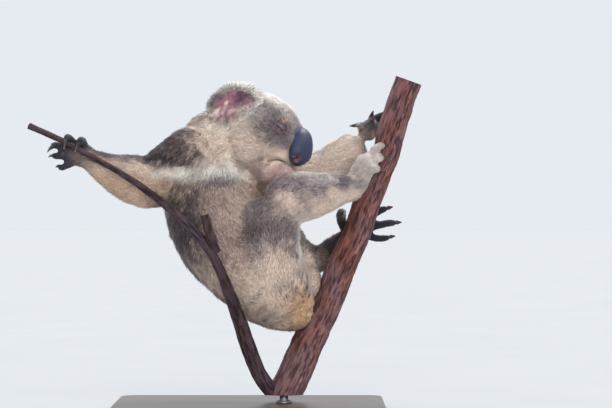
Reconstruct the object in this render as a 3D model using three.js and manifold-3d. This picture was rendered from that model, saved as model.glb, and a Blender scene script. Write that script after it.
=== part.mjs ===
// A koala asleep in the fork of a branch, on a plain display stand, at life size.
// Frame: millimetres, +Z up, origin at the centre of the base's underside. The animal faces +X, so its
// right side looks towards -Y. The figure is still: it has no joints.
import * as THREE from "three";
import { mergeVertices } from "three/addons/utils/BufferGeometryUtils.js";
import Module from "manifold-3d";

const wasm = await Module();
wasm.setup();

// ---- Driving dimensions -------------------------------------------------------------------------
const GAP = 0.35; // clearance between neighbouring solids

const BASE = { length: 430, depth: 310, thickness: 18, corner: 28, bevel: 2 };
const ROD = { radius: 7, spread: 15 };
const FOOT_OF_STEM = { x: 55, y: -14, z: 30 };

// A station is [x, y, z, half size in the plane of view (X-Z), half size along Y].
// A station of a round limb is [x, y, z, radius].
const STEM = [
  [42, -18, 2, 28],
  [72, -8, 64, 27],
  [95, 10, 116, 26.5],
  [124, 30, 175, 25],
  [150, 40, 239, 24],
  [171, 43, 284, 23],
  [187, 45, 332, 22.5],
  [205, 45, 379, 22.5],
  [221, 43, 421, 22.5],
  [226, 42, 445, 23],
  [242, 40, 495, 22.5],
  [256, 38, 534, 22],
];
const SIDE_BRANCH = [
  [50, -16, 18, 13],
  [18, -34, 60, 12.5],
  [-2, -58, 110, 12.5],
  [-15, -78, 152, 11.7],
  [-30, -96, 194, 9.8],
  [-45, -103, 232, 8],
  [-63, -106, 265, 8],
  [-100, -108, 307, 7],
  [-146, -108, 345, 6.2],
  [-191, -107, 377, 5.3],
  [-238, -104, 404, 4.8],
  [-287, -100, 431, 4.9],
  [-345, -92, 457, 5.4],
];
const STUB = [
  [-50, -106, 258, 7.4],
  [-60, -112, 286, 7.6],
  [-68, -115, 318, 6.8],
];

const TORSO = [
  [90, 0, 138, 46, 60],
  [44, 0, 190, 64, 78],
  [-6, 0, 244, 76, 86],
  [-44, 0, 294, 81, 88],
  [-62, 0, 346, 77, 82],
  [-65, 2, 392, 68, 74],
  [-59, 0, 428, 52, 56],
  [-50, 0, 458, 34, 38],
];
const NECK = [
  [-78, -2, 384, 54, 58],
  [-54, -2, 424, 60, 60],
  [-22, 0, 436, 56, 52],
  [12, 0, 440, 48, 46],
];
const RIGHT_THIGH = [
  [62, -40, 154, 46, 44],
  [44, -48, 204, 51, 48],
  [34, -62, 260, 51, 43],
  [33, -72, 308, 49, 38],
  [40, -72, 346, 42, 31],
];
const RIGHT_SHIN = [
  [24, -74, 336, 42, 33],
  [76, -62, 345, 43, 33],
  [112, -40, 350, 36, 26],
  [141, -18, 356, 27, 22],
  [168, 4, 362, 21, 17],
];
const LEFT_THIGH = [
  [66, 28, 160, 45, 40],
  [61, 42, 198, 57, 44],
  [53, 75, 251, 46, 40],
  [40, 108, 304, 38, 34],
];
const LEFT_SHIN = [
  [36, 104, 306, 35, 30],
  [68, 94, 260, 29, 26],
  [104, 82, 244, 25, 20],
  [128, 80, 255, 20, 16],
];
const RIGHT_ARM = [
  [-62, -30, 428, 48, 42],
  [-92, -48, 412, 47, 40],
  [-122, -58, 391, 44, 36],
  [-156, -66, 368, 43, 31],
  [-187, -70, 375, 40, 26],
  [-218, -74, 387, 30, 22],
  [-238, -80, 397, 23, 17],
  [-256, -84, 407, 19, 12],
];
const LEFT_ARM = [
  [-12, 36, 402, 48, 36],
  [46, 74, 378, 44, 34],
  [88, 90, 379, 42, 33],
  [121, 88, 391, 34, 28],
  [153, 76, 412, 33, 24],
  [181, 67, 437, 26, 18],
];

// The head is built in its own frame: +X to the nose, +Y to the animal's left, +Z to the crown.
const HEAD = { centre: [27, 0, 439], yaw: 38, pitch: 11, roll: 17 };
const SKULL = [
  [-80, 0, 2, 30, 36],
  [-54, 0, 6, 54, 60],
  [-20, 0, 6, 65, 68],
  [12, 0, 2, 58, 62],
  [38, 0, -3, 42, 48],
  [56, 0, -9, 33, 35],
  [71, 0, -17, 27, 25],
];
const CHEEK = { at: [-6, 42, -20], size: [46, 32, 42] };
const CHIN = [
  [-10, 0, -46, 27, 34],
  [20, 0, -48, 27, 29],
  [48, 0, -46, 21, 21],
  [77, 0, -46, 13, 17],
];
const NOSE_PAD = [
  [52, 0, 28, 9, 12],
  [68, 0, 14, 14, 20],
  [74, 0, -8, 16, 23],
  [72, 0, -33, 13, 20],
];
const EYE = { at: [43, 31.5, 13], radius: 10 };
const EAR = { height: 31, width: 43, thickness: 13, turn: 50, tilt: 50 };
const EAR_AT = { right: [-22, -82, 26], left: [-30, 79, 21] }; // the left one laid a little further back

// Digits are [points, thick end radius, thin end radius]; a claw goes on from the tip.
const RIGHT_PALM = [
  [-240, -85, 402, 17, 12],
  [-260, -89, 410, 20, 11],
  [-286, -92, 417, 14, 8],
];
const RIGHT_FINGERS = [
  { path: [[-254, -90, 412], [-258, -96, 429], [-262, -108, 434], [-266, -115, 426]], r: [8, 6.5], claw: 13 },
  { path: [[-266, -91, 416], [-276, -95, 433], [-283, -106, 439], [-285, -114, 431]], r: [7, 6], claw: 14 },
  { path: [[-268, -90, 415], [-288, -95, 421], [-302, -102, 426], [-308, -111, 422]], r: [7, 6], claw: 13 },
  { path: [[-268, -90, 410], [-288, -96, 409], [-301, -104, 409], [-306, -113, 410]], r: [7, 6], claw: 13 },
  { path: [[-262, -90, 404], [-280, -95, 396], [-292, -103, 391], [-296, -111, 393]], r: [7, 6], claw: 12 },
];
const LEFT_PALM = [
  [181, 66, 440, 17, 13],
  [194, 70, 457, 17, 11],
  [200, 76, 471, 13, 9],
];
const LEFT_FINGERS = [
  { path: [[190, 66, 458], [178, 62, 462], [167, 57, 461]], r: [7, 5.5], claw: 12 },
  { path: [[195, 68, 464], [196, 62, 474], [197, 54, 480]], r: [7, 5.5], claw: 11 },
  { path: [[198, 79, 471], [212, 85, 478], [228, 81, 482], [240, 74, 482]], r: [7, 6], claw: 12 },
  { path: [[200, 79, 462], [212, 84, 464], [226, 80, 466], [238, 73, 467]], r: [7, 6], claw: 12 },
  { path: [[198, 77, 453], [209, 82, 450], [222, 79, 450], [233, 72, 452]], r: [7, 6], claw: 11 },
];
const RIGHT_SOLE = [
  [150, 3, 340, 17, 15],
  [165, 5, 360, 20, 17],
  [181, 8, 388, 19, 15],
  [195, 12, 417, 16, 12],
];
const RIGHT_TOES = [
  { path: [[176, 16, 388], [178, 36, 400], [184, 56, 406]], r: [9, 8], claw: 0 },
  { path: [[184, 8, 388], [194, 3, 390], [202, 5, 390], [208, 11, 389]], r: [8, 6.5], claw: 11 },
  { path: [[190, 8, 403], [200, 4, 407], [208, 7, 408], [214, 13, 407]], r: [8, 6.5], claw: 11 },
  { path: [[194, 12, 416], [202, 7, 423], [209, 9, 427], [215, 15, 427]], r: [8, 6.5], claw: 11 },
];
const LEFT_SOLE = [
  [100, 82, 242, 19, 14],
  [130, 82, 260, 20, 14],
  [160, 84, 279, 18, 13],
  [184, 85, 292, 14, 10],
];
const LEFT_TOES = [
  { path: [[158, 76, 286], [148, 66, 306], [147, 50, 318], [148, 34, 321]], r: [9.5, 9], claw: 0 },
  { path: [[180, 84, 287], [200, 84, 279], [216, 80, 278], [229, 74, 281]], r: [7.5, 6.5], claw: 8 },
  { path: [[182, 84, 294], [206, 82, 299], [225, 78, 303], [239, 72, 304]], r: [8, 7], claw: 8 },
  { path: [[178, 82, 300], [197, 80, 315], [212, 76, 324], [225, 70, 328]], r: [8, 7], claw: 8 },
];

// ---- Shapes -------------------------------------------------------------------------------------
const DEPTH = new THREE.Vector3(0, 1, 0);

// Round end: the share of the full girth at a fraction t of the way along, for end lengths first, last.
function roundEnd(t, first, last) {
  const near = first > 0 && t < first ? Math.sqrt(1 - (1 - t / first) ** 2) : 1;
  const far = last > 0 && 1 - t < last ? Math.sqrt(1 - (1 - (1 - t) / last) ** 2) : 1;
  return near * far;
}

// An ellipse carried along a smooth path through the stations. Its first half size lies square to the
// path and to `across`, its second one along `across`. An end length of 0 leaves that end sawn flat.
function loft(stations, { sides = 16, rings = 12, first = 0.2, last = 0.2, grow = 0, across = DEPTH } = {}) {
  const path = new THREE.CatmullRomCurve3(stations.map((s) => new THREE.Vector3(s[0], s[1], s[2])));
  const girth = new THREE.CatmullRomCurve3(stations.map((s) => new THREE.Vector3(s[3], s[4] ?? s[3], 0)));
  const position = [];
  const index = [];
  const point = new THREE.Vector3();
  const straddle = 1 / Math.sqrt(Math.cos(Math.PI / sides)); // corners stand as far out as the flats lie in
  for (let ring = 0; ring <= rings; ring += 1) {
    const t = (1 - Math.cos((Math.PI * ring) / rings)) / 2;
    const along = path.getTangent(t);
    const side = across.clone().addScaledVector(along, -across.dot(along)).normalize();
    const normal = new THREE.Vector3().crossVectors(along, side);
    const size = girth.getPoint(t);
    const share = straddle * Math.max(roundEnd(t, first, last), 0.02);
    const centre = path.getPoint(t);
    const overshoot = ring === 0 ? -grow : ring === rings ? grow : 0;
    for (let k = 0; k < sides; k += 1) {
      const angle = (2 * Math.PI * k) / sides;
      point.copy(centre).addScaledVector(along, overshoot);
      point.addScaledVector(normal, (size.x * share + grow) * Math.cos(angle));
      point.addScaledVector(side, (size.y * share + grow) * Math.sin(angle));
      position.push(point.x, point.y, point.z);
    }
    if (ring === 0) continue;
    for (let k = 0; k < sides; k += 1) {
      const a = (ring - 1) * sides + k;
      const b = (ring - 1) * sides + ((k + 1) % sides);
      index.push(a, a + sides, b, b, a + sides, b + sides);
    }
  }
  for (let k = 1; k < sides - 1; k += 1) {
    const end = rings * sides;
    index.push(0, k, k + 1, end, end + k + 1, end + k);
  }
  const geometry = new THREE.BufferGeometry();
  geometry.setAttribute("position", new THREE.Float32BufferAttribute(position, 3));
  geometry.setIndex(index);
  return geometry;
}

// A three.js geometry as a solid, moved by an optional matrix.
function solid(geometry, matrix = new THREE.Matrix4()) {
  const bare = new THREE.BufferGeometry();
  bare.setAttribute("position", geometry.getAttribute("position").clone());
  bare.setIndex(geometry.index);
  bare.applyMatrix4(matrix);
  const merged = mergeVertices(bare, 1e-4);
  return new wasm.Manifold(
    new wasm.Mesh({
      numProp: 3,
      vertProperties: merged.attributes.position.array,
      triVerts: new Uint32Array(merged.index.array),
    }),
  );
}

const join = (...solids) => solids.reduce((whole, next) => whole.add(next));
const cut = (body, ...tools) => tools.reduce((left, tool) => left.subtract(tool), body);

// The largest piece of a cut solid: slivers left behind a neighbour are dropped.
function largest(body) {
  const pieces = body.decompose();
  return pieces.sort((a, b) => b.volume() - a.volume())[0];
}

function ellipsoid(centre, size, grow = 0, detail = 9) {
  const matrix = new THREE.Matrix4().makeScale(size[0] + grow, size[1] + grow, size[2] + grow);
  matrix.setPosition(...centre);
  return solid(new THREE.SphereGeometry(1, detail, Math.round(detail * 0.7)), matrix);
}

// Everything on the far side of a plane through `point`, as one large block.
function beyond(point, direction) {
  const reach = 400;
  const block = new THREE.BoxGeometry(reach, reach, reach);
  const turn = new THREE.Quaternion().setFromUnitVectors(
    new THREE.Vector3(0, 0, 1),
    new THREE.Vector3(...direction).normalize(),
  );
  const centre = new THREE.Vector3(...direction).normalize().multiplyScalar(reach / 2);
  centre.add(new THREE.Vector3(...point));
  return solid(block, new THREE.Matrix4().compose(centre, turn, new THREE.Vector3(1, 1, 1)));
}

// One limb parted by planes across it: returns the lengths in order, with the gap between them.
function part(limb, planes) {
  const pieces = [];
  let rest = limb;
  for (const { point, direction } of planes) {
    const step = new THREE.Vector3(...direction).normalize().multiplyScalar(GAP);
    const next = point.map((value, axis) => value + step.getComponent(axis));
    const back = direction.map((value) => -value);
    pieces.push(largest(rest.subtract(beyond(point, direction))));
    rest = largest(rest.subtract(beyond(next, back)));
  }
  pieces.push(rest);
  return pieces;
}

// ---- Head frame ---------------------------------------------------------------------------------
const radians = THREE.MathUtils.degToRad;
const headTurn = new THREE.Euler(radians(-HEAD.roll), radians(HEAD.pitch), radians(-HEAD.yaw), "ZYX");
const headPlace = new THREE.Matrix4().makeRotationFromEuler(headTurn).setPosition(...HEAD.centre);

const mirrored = (place, side) => [place[0], place[1] * side, place[2]];

function headShape(grow = 0) {
  const options = { sides: 16, rings: 10, first: 0.2, last: 0.12, grow };
  const skull = solid(loft(SKULL, options));
  const chin = solid(loft(CHIN, { sides: 8, rings: 5, first: 0.3, last: 0.4, grow }));
  const cheeks = [-1, 1].map((side) => ellipsoid(mirrored(CHEEK.at, side), CHEEK.size, grow));
  return join(skull, chin, ...cheeks).transform(headPlace.elements);
}

function nosePad(grow = 0) {
  return solid(loft(NOSE_PAD, { sides: 12, rings: 7, first: 0.3, last: 0.3, grow }), headPlace);
}

function eye(side, grow = 0) {
  return ellipsoid(mirrored(EYE.at, side), Array(3).fill(EYE.radius), grow).transform(headPlace.elements);
}

// An ear is a thick oval dish that grows up and out of the side of the head and opens forwards.
function ear(side, grow = 0) {
  const turn = new THREE.Euler(radians(-side * (90 - EAR.tilt)), 0, radians(side * EAR.turn), "ZXY");
  const place = new THREE.Matrix4().makeRotationFromEuler(turn).setPosition(...(side < 0 ? EAR_AT.right : EAR_AT.left));
  place.premultiply(headPlace);
  const body = ellipsoid([0, 0, 0], [EAR.thickness, EAR.width, EAR.height], grow, 11);
  const hollow = [EAR.thickness, EAR.width * 0.74, EAR.height * 0.72];
  const dish = ellipsoid([EAR.thickness * 1.1, 0, 0], hollow, -grow);
  return body.subtract(dish).transform(place.elements);
}

// ---- Hands and feet -----------------------------------------------------------------------------
function digitStations({ path, r }) {
  return path.map((place, k) => [...place, r[0] + ((r[1] - r[0]) * k) / (path.length - 1)]);
}

function digit(spec, grow = 0) {
  return solid(loft(digitStations(spec), { sides: 6, rings: 3, first: 0.15, last: 0.25, grow }));
}

// A claw leaves the tip of its digit in the same direction, then hooks down towards the bark.
function claw({ path, r, claw: length }, hook, grow = 0) {
  const tip = new THREE.Vector3(...path.at(-1));
  const along = new THREE.Vector3(...path.at(-2)).sub(tip).negate().normalize();
  const bend = new THREE.Vector3(...hook).normalize();
  const stations = [0, 0.4, 0.75, 1].map((share) => {
    const place = tip.clone().addScaledVector(along, length * (share - 0.1));
    place.addScaledVector(bend, length * 0.35 * share * share);
    return [place.x, place.y, place.z, r[1] * 0.62 * (1 - 0.8 * share)];
  });
  return solid(loft(stations, { sides: 5, rings: 2, first: 0, last: 0, grow }));
}

// ---- Assembly -----------------------------------------------------------------------------------
const FUR = { grey: 0x8b8583, dark: 0x5e5654, cream: 0xd9c3a6, white: 0xd8d3cb };
const material = {
  grey: new THREE.MeshStandardMaterial({ color: FUR.grey, roughness: 0.95 }),
  dark: new THREE.MeshStandardMaterial({ color: FUR.dark, roughness: 0.9 }),
  cream: new THREE.MeshStandardMaterial({ color: FUR.cream, roughness: 0.95 }),
  white: new THREE.MeshStandardMaterial({ color: FUR.white, roughness: 0.95 }),
  nose: new THREE.MeshStandardMaterial({ color: 0x23242c, roughness: 0.5 }),
  eye: new THREE.MeshStandardMaterial({ color: 0x2a1a12, roughness: 0.15 }),
  claw: new THREE.MeshStandardMaterial({ color: 0x2b2320, roughness: 0.45 }),
  bark: new THREE.MeshStandardMaterial({ color: 0x6b4238, roughness: 0.95 }),
  base: new THREE.MeshStandardMaterial({ color: 0x3a3531, roughness: 0.6 }),
  steel: new THREE.MeshStandardMaterial({ color: 0x8c8f92, roughness: 0.35, metalness: 1 }),
};

const koala = new THREE.Group();

function addNode(name, body, finish) {
  const mesh = largest(body).getMesh();
  const geometry = new THREE.BufferGeometry();
  geometry.setAttribute("position", new THREE.Float32BufferAttribute(mesh.vertProperties, 3));
  geometry.setIndex(new THREE.Uint32BufferAttribute(mesh.triVerts, 1));
  geometry.computeVertexNormals();
  const node = new THREE.Mesh(geometry, finish);
  node.name = name;
  koala.add(node);
}

// Perch: a forked length of branch, sawn flat at its ends, with the broken stub of a twig.
const stemShape = (grow) => solid(loft(STEM, { sides: 12, rings: 11, first: 0, last: 0, grow }));
const sideShape = (grow) => solid(loft(SIDE_BRANCH, { sides: 8, rings: 18, first: 0, last: 0, grow }));
const stubShape = (grow) => solid(loft(STUB, { sides: 6, rings: 3, first: 0, last: 0.12, grow }));
const floorOfStem = beyond([0, 0, FOOT_OF_STEM.z], [0, 0, -1]);
const stem = cut(stemShape(0), floorOfStem);
const sideBranch = cut(sideShape(0), stemShape(GAP), floorOfStem);
addNode("perch_stem", stem, material.bark);
const branchParting = { point: SIDE_BRANCH[6].slice(0, 3), direction: [-0.65, -0.05, 0.75] };
const [lowerBranch, upperBranch] = part(sideBranch, [branchParting]);
addNode("perch_branch_lower", lowerBranch, material.bark);
addNode("perch_branch_upper", upperBranch, material.bark);
addNode("perch_stub", cut(stubShape(0), sideShape(GAP)), material.bark);
const perchGrown = join(stemShape(GAP), sideShape(GAP), stubShape(GAP));

// Trunk of the body, in two lengths.
const torsoShape = (grow) => solid(loft(TORSO, { sides: 18, rings: 11, first: 0.16, last: 0.14, grow }));
const torso = cut(torsoShape(0), perchGrown);
const [rump, chest] = part(torso, [{ point: TORSO[3].slice(0, 3), direction: [-0.45, 0, 0.9] }]);
addNode("rump", rump, material.cream);
addNode("chest", chest, material.white);
const torsoGrown = torsoShape(GAP);

// Head, with the nose pad, eyes and ears set into it.
const headGrown = headShape(GAP);
const sides = [["right", -1], ["left", 1]];
const features = join(nosePad(GAP), eye(-1, GAP), eye(1, GAP));
addNode("head", cut(headShape(), torsoGrown, features), material.grey);
addNode("nose_pad", nosePad(), material.nose);
for (const [name, side] of sides) {
  addNode(`eye_${name}`, eye(side), material.eye);
  addNode(`ear_${name}`, cut(ear(side), headGrown, torsoGrown), material.white);
}
const earsGrown = join(ear(-1, GAP), ear(1, GAP));
const neckShape = (grow) => solid(loft(NECK, { sides: 14, rings: 5, first: 0.3, last: 0.3, grow }));
addNode("neck", cut(neckShape(0), torsoGrown, headGrown, earsGrown), material.white);
const bodyGrown = join(torsoGrown, headGrown, neckShape(GAP), perchGrown, earsGrown);

// Limbs, each parted at its joint. A plane gives the place of the cut and the way to the tip.
const limbOptions = { sides: 12, rings: 9, first: 0.16, last: 0.1 };

function addArm(name, stations, elbow, palm, fingers, hook) {
  const shape = (grow) => solid(loft(stations, { ...limbOptions, grow }));
  const [upper, fore] = part(cut(shape(0), bodyGrown), [elbow]);
  addNode(`upper_arm_${name}`, upper, material.grey);
  addNode(`forearm_${name}`, fore, material.cream);
  addPaw(`hand_${name}`, palm, fingers, join(shape(GAP), perchGrown), hook);
  return shape(GAP);
}

function addPaw(name, palm, digits, neighbours, hook) {
  const palmSolid = solid(loft(palm, { sides: 8, rings: 4, first: 0.25, last: 0.25 }));
  const paw = join(palmSolid, ...digits.map((d) => digit(d)));
  addNode(name, cut(paw, neighbours), material.dark);
  const grown = join(...digits.map((d) => digit(d, GAP)), neighbours);
  digits.filter((d) => d.claw > 0).forEach((d, k) => {
    addNode(`claw_${name}_${k + 1}`, cut(claw(d, hook), grown), material.claw);
  });
}

const rightArm = addArm("right", RIGHT_ARM, { point: RIGHT_ARM[3].slice(0, 3), direction: [-1, -0.1, -0.1] },
  RIGHT_PALM, RIGHT_FINGERS, [0, -0.3, -1]);
const leftArm = addArm("left", LEFT_ARM, { point: LEFT_ARM[2].slice(0, 3), direction: [1, 0, 0.2] },
  LEFT_PALM, LEFT_FINGERS, [0.4, -1, 0]);
const upperGrown = join(bodyGrown, rightArm, leftArm);

function addLeg(name, thighStations, shinStations, sole, toes, hook, neighbours) {
  const thigh = (grow) => solid(loft(thighStations, { ...limbOptions, first: 0.22, last: 0.22, grow }));
  const shin = (grow) => solid(loft(shinStations, { ...limbOptions, first: 0.2, last: 0.1, grow }));
  addNode(`thigh_${name}`, cut(thigh(0), neighbours), material.grey);
  addNode(`shin_${name}`, cut(shin(0), neighbours, thigh(GAP)), material.grey);
  const leg = join(thigh(GAP), shin(GAP));
  addPaw(`foot_${name}`, sole, toes, join(leg, neighbours), hook);
  return leg;
}

const rightLeg = addLeg("right", RIGHT_THIGH, RIGHT_SHIN, RIGHT_SOLE, RIGHT_TOES, [0.4, 1, 0], upperGrown);
addLeg("left", LEFT_THIGH, LEFT_SHIN, LEFT_SOLE, LEFT_TOES, [0.5, -1, 0], join(upperGrown, rightLeg));

// Display stand: a flat base with rounded corners, and two short rods up to the foot of the perch.
function baseGeometry() {
  const { length, depth, thickness, corner, bevel } = BASE;
  const x = length / 2 - bevel;
  const y = depth / 2 - bevel;
  const outline = new THREE.Shape();
  outline.moveTo(-x + corner, -y);
  outline.lineTo(x - corner, -y).absarc(x - corner, -y + corner, corner, -Math.PI / 2, 0);
  outline.lineTo(x, y - corner).absarc(x - corner, y - corner, corner, 0, Math.PI / 2);
  outline.lineTo(-x + corner, y).absarc(-x + corner, y - corner, corner, Math.PI / 2, Math.PI);
  outline.lineTo(-x, -y + corner).absarc(-x + corner, -y + corner, corner, Math.PI, 1.5 * Math.PI);
  const edge = { bevelThickness: bevel, bevelSize: bevel, bevelSegments: 1 };
  const options = { depth: thickness - 2 * bevel, curveSegments: 3, ...edge };
  return new THREE.ExtrudeGeometry(outline, options).translate(0, 0, bevel);
}
addNode("stand_base", solid(baseGeometry()), material.base);
const rodHeight = FOOT_OF_STEM.z - BASE.thickness - 2 * GAP;
for (const [name, side] of [["front", -1], ["back", 1]]) {
  const rod = new THREE.CylinderGeometry(ROD.radius, ROD.radius, rodHeight, 12).rotateX(Math.PI / 2);
  rod.translate(FOOT_OF_STEM.x, FOOT_OF_STEM.y + side * ROD.spread, BASE.thickness + GAP + rodHeight / 2);
  addNode(`stand_rod_${name}`, solid(rod), material.steel);
}

export default koala;
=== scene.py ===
import bmesh
import bpy
import numpy as np
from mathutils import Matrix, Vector


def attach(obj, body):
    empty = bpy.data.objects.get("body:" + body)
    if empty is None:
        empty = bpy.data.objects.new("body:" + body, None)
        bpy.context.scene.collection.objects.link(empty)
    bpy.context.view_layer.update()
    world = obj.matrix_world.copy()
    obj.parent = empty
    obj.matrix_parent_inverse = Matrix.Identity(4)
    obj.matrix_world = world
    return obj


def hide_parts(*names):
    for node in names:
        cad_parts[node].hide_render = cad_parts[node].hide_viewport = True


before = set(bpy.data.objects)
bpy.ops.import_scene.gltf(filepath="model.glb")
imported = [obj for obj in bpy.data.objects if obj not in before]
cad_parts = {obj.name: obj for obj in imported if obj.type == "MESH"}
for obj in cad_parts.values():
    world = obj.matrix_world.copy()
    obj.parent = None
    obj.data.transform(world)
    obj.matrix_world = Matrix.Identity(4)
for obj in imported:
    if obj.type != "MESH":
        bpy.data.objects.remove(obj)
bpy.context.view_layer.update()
MM = 0.001
TUFT_SHARE = 1.0

# ---- Stations: x, y, z, half size in the X-Z plane, half size along Y ----------------------------
STEM = [(42, -18, 2, 28), (72, -8, 64, 27), (95, 10, 116, 26.5), (124, 30, 175, 25), (150, 40, 239, 24),
        (171, 43, 284, 23), (187, 45, 332, 22.5), (205, 45, 379, 22.5), (221, 43, 421, 22.5),
        (226, 42, 445, 23), (242, 40, 495, 22.5), (256, 38, 534, 22)]
SIDE_BRANCH = [(50, -16, 18, 13), (18, -34, 60, 12.5), (-2, -58, 110, 12.5), (-15, -78, 152, 11.7),
               (-30, -96, 194, 9.8), (-45, -103, 232, 8), (-63, -106, 265, 8), (-100, -108, 307, 7),
               (-146, -108, 345, 6.2), (-191, -107, 377, 5.3), (-238, -104, 404, 4.8),
               (-287, -100, 431, 4.9), (-345, -92, 457, 5.4)]
STUB = [(-50, -106, 258, 7.4), (-60, -112, 286, 7.6), (-68, -115, 318, 6.8)]
FOOT_LEVEL = 30
TORSO = [(90, 0, 138, 46, 60), (44, 0, 190, 64, 78), (-6, 0, 244, 76, 86), (-44, 0, 294, 81, 88),
         (-62, 0, 346, 77, 82), (-65, 2, 392, 68, 74), (-59, 0, 428, 52, 56), (-50, 0, 458, 34, 38)]
NECK = [(-78, -2, 384, 54, 58), (-54, -2, 424, 60, 60), (-22, 0, 436, 56, 52), (12, 0, 440, 48, 46)]
RIGHT_THIGH = [(62, -40, 154, 46, 44), (44, -48, 204, 51, 48), (34, -62, 260, 51, 43),
               (33, -72, 308, 49, 38), (40, -72, 346, 42, 31)]
RIGHT_SHIN = [(24, -74, 336, 42, 33), (76, -62, 345, 43, 33), (112, -40, 350, 36, 26),
              (141, -18, 356, 27, 22), (168, 4, 362, 21, 17)]
LEFT_THIGH = [(66, 28, 160, 45, 40), (61, 42, 198, 57, 44), (53, 75, 251, 46, 40), (40, 108, 304, 38, 34)]
LEFT_SHIN = [(36, 104, 306, 35, 30), (68, 94, 260, 29, 26), (104, 82, 244, 25, 20), (128, 80, 255, 20, 16)]
RIGHT_ARM = [(-62, -30, 428, 48, 42), (-92, -48, 412, 47, 40), (-122, -58, 391, 44, 36),
             (-156, -66, 368, 43, 31), (-187, -70, 375, 40, 26), (-218, -74, 387, 30, 22),
             (-238, -80, 397, 23, 17), (-256, -84, 407, 19, 12)]
LEFT_ARM = [(-12, 36, 402, 48, 36), (46, 74, 378, 44, 34), (88, 90, 379, 42, 33), (121, 88, 391, 34, 28),
            (153, 76, 412, 33, 24), (181, 67, 437, 26, 18)]
RIGHT_PALM = [(-240, -85, 402, 17, 12), (-260, -89, 410, 20, 11), (-286, -92, 417, 14, 8)]
LEFT_PALM = [(181, 66, 440, 17, 13), (194, 70, 457, 17, 11), (200, 76, 471, 13, 9)]
RIGHT_SOLE = [(150, 3, 340, 17, 15), (165, 5, 360, 20, 17), (181, 8, 388, 19, 15), (195, 12, 417, 16, 12)]
LEFT_SOLE = [(100, 82, 242, 19, 14), (130, 82, 260, 20, 14), (160, 84, 279, 18, 13), (184, 85, 292, 14, 10)]

# Digits: path, radius at the root and at the tip, length of the claw.
RIGHT_FINGERS = [
    ([(-254, -90, 412), (-258, -96, 429), (-262, -108, 434), (-266, -115, 426)], 8, 6.5, 13),
    ([(-266, -91, 416), (-276, -95, 433), (-283, -106, 439), (-285, -114, 431)], 7, 6, 14),
    ([(-268, -90, 415), (-288, -95, 421), (-302, -102, 426), (-308, -111, 422)], 7, 6, 13),
    ([(-268, -90, 410), (-288, -96, 409), (-301, -104, 409), (-306, -113, 410)], 7, 6, 13),
    ([(-262, -90, 404), (-280, -95, 396), (-292, -103, 391), (-296, -111, 393)], 7, 6, 12),
]
LEFT_FINGERS = [
    ([(190, 66, 458), (178, 62, 462), (167, 57, 461)], 7, 5.5, 12),
    ([(195, 68, 464), (196, 62, 474), (197, 54, 480)], 7, 5.5, 11),
    ([(198, 79, 471), (212, 85, 478), (228, 81, 482), (240, 74, 482)], 7, 6, 12),
    ([(200, 79, 462), (212, 84, 464), (226, 80, 466), (238, 73, 467)], 7, 6, 12),
    ([(198, 77, 453), (209, 82, 450), (222, 79, 450), (233, 72, 452)], 7, 6, 11),
]
RIGHT_TOES = [
    ([(176, 16, 388), (178, 36, 400), (184, 56, 406)], 9, 8, 0),
    ([(184, 8, 388), (194, 3, 390), (202, 5, 390), (208, 11, 389)], 8, 6.5, 11),
    ([(190, 8, 403), (200, 4, 407), (208, 7, 408), (214, 13, 407)], 8, 6.5, 11),
    ([(194, 12, 416), (202, 7, 423), (209, 9, 427), (215, 15, 427)], 8, 6.5, 11),
]
LEFT_TOES = [
    ([(158, 76, 286), (148, 66, 306), (147, 50, 318), (148, 34, 321)], 9.5, 9, 0),
    ([(180, 84, 287), (200, 84, 279), (216, 80, 278), (229, 74, 281)], 7.5, 6.5, 8),
    ([(182, 84, 294), (206, 82, 299), (225, 78, 303), (239, 72, 304)], 8, 7, 8),
    ([(178, 82, 300), (197, 80, 315), (212, 76, 324), (225, 70, 328)], 8, 7, 8),
]
PAWS = {"hand_right": RIGHT_FINGERS, "hand_left": LEFT_FINGERS,
        "foot_right": RIGHT_TOES, "foot_left": LEFT_TOES}
HOOKS = {"hand_right": (0, -0.3, -1), "hand_left": (0.4, -1, 0),
         "foot_right": (0.4, 1, 0), "foot_left": (0.5, -1, 0)}

# Head's own frame: +X to the nose, +Y to the animal's left, +Z to the crown.
HEAD_CENTRE = np.array((27.0, 0.0, 439.0))
HEAD_YAW, HEAD_PITCH, HEAD_ROLL = 38, 11, 17
SKULL = [(-80, 0, 2, 30, 36), (-54, 0, 6, 54, 60), (-20, 0, 6, 65, 68), (12, 0, 2, 58, 62),
         (38, 0, -3, 42, 48), (56, 0, -9, 33, 35), (71, 0, -17, 27, 25)]
CHEEK_AT, CHEEK_SIZE = (-6, 42, -20), (46, 32, 42)
CHIN = [(-10, 0, -46, 27, 34), (20, 0, -48, 27, 29), (48, 0, -46, 21, 21), (77, 0, -46, 13, 17)]
NOSE_PAD = [(52, 0, 28, 9, 12), (68, 0, 14, 14, 20), (74, 0, -8, 16, 23), (72, 0, -33, 13, 20)]
EYE_AT = (43, 31.5, 13)
EAR_SIZE, EAR_TURN, EAR_TILT = (13, 43, 31), 50, 50
EAR_AT = {-1: (-22, -82, 26), 1: (-30, 79, 21)}


# ---- Turning and noise ----------------------------------------------------------------------------
def turn(axis, degrees):
    """The 3x3 matrix of a turn about one axis of the frame."""
    c, s = np.cos(np.radians(degrees)), np.sin(np.radians(degrees))
    rows = {"x": ((1, 0, 0), (0, c, -s), (0, s, c)), "y": ((c, 0, s), (0, 1, 0), (-s, 0, c)),
            "z": ((c, -s, 0), (s, c, 0), (0, 0, 1))}
    return np.array(rows[axis])


HEAD_TURN = turn("z", -HEAD_YAW) @ turn("y", HEAD_PITCH) @ turn("x", -HEAD_ROLL)


def from_head(points):
    """Head frame to row frame: turned by the head's turn, then moved to its centre."""
    return np.asarray(points, float) @ HEAD_TURN.T + HEAD_CENTRE


def to_head(points):
    """Row frame to head frame: the inverse of from_head."""
    return (np.asarray(points, float) - HEAD_CENTRE) @ HEAD_TURN


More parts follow.
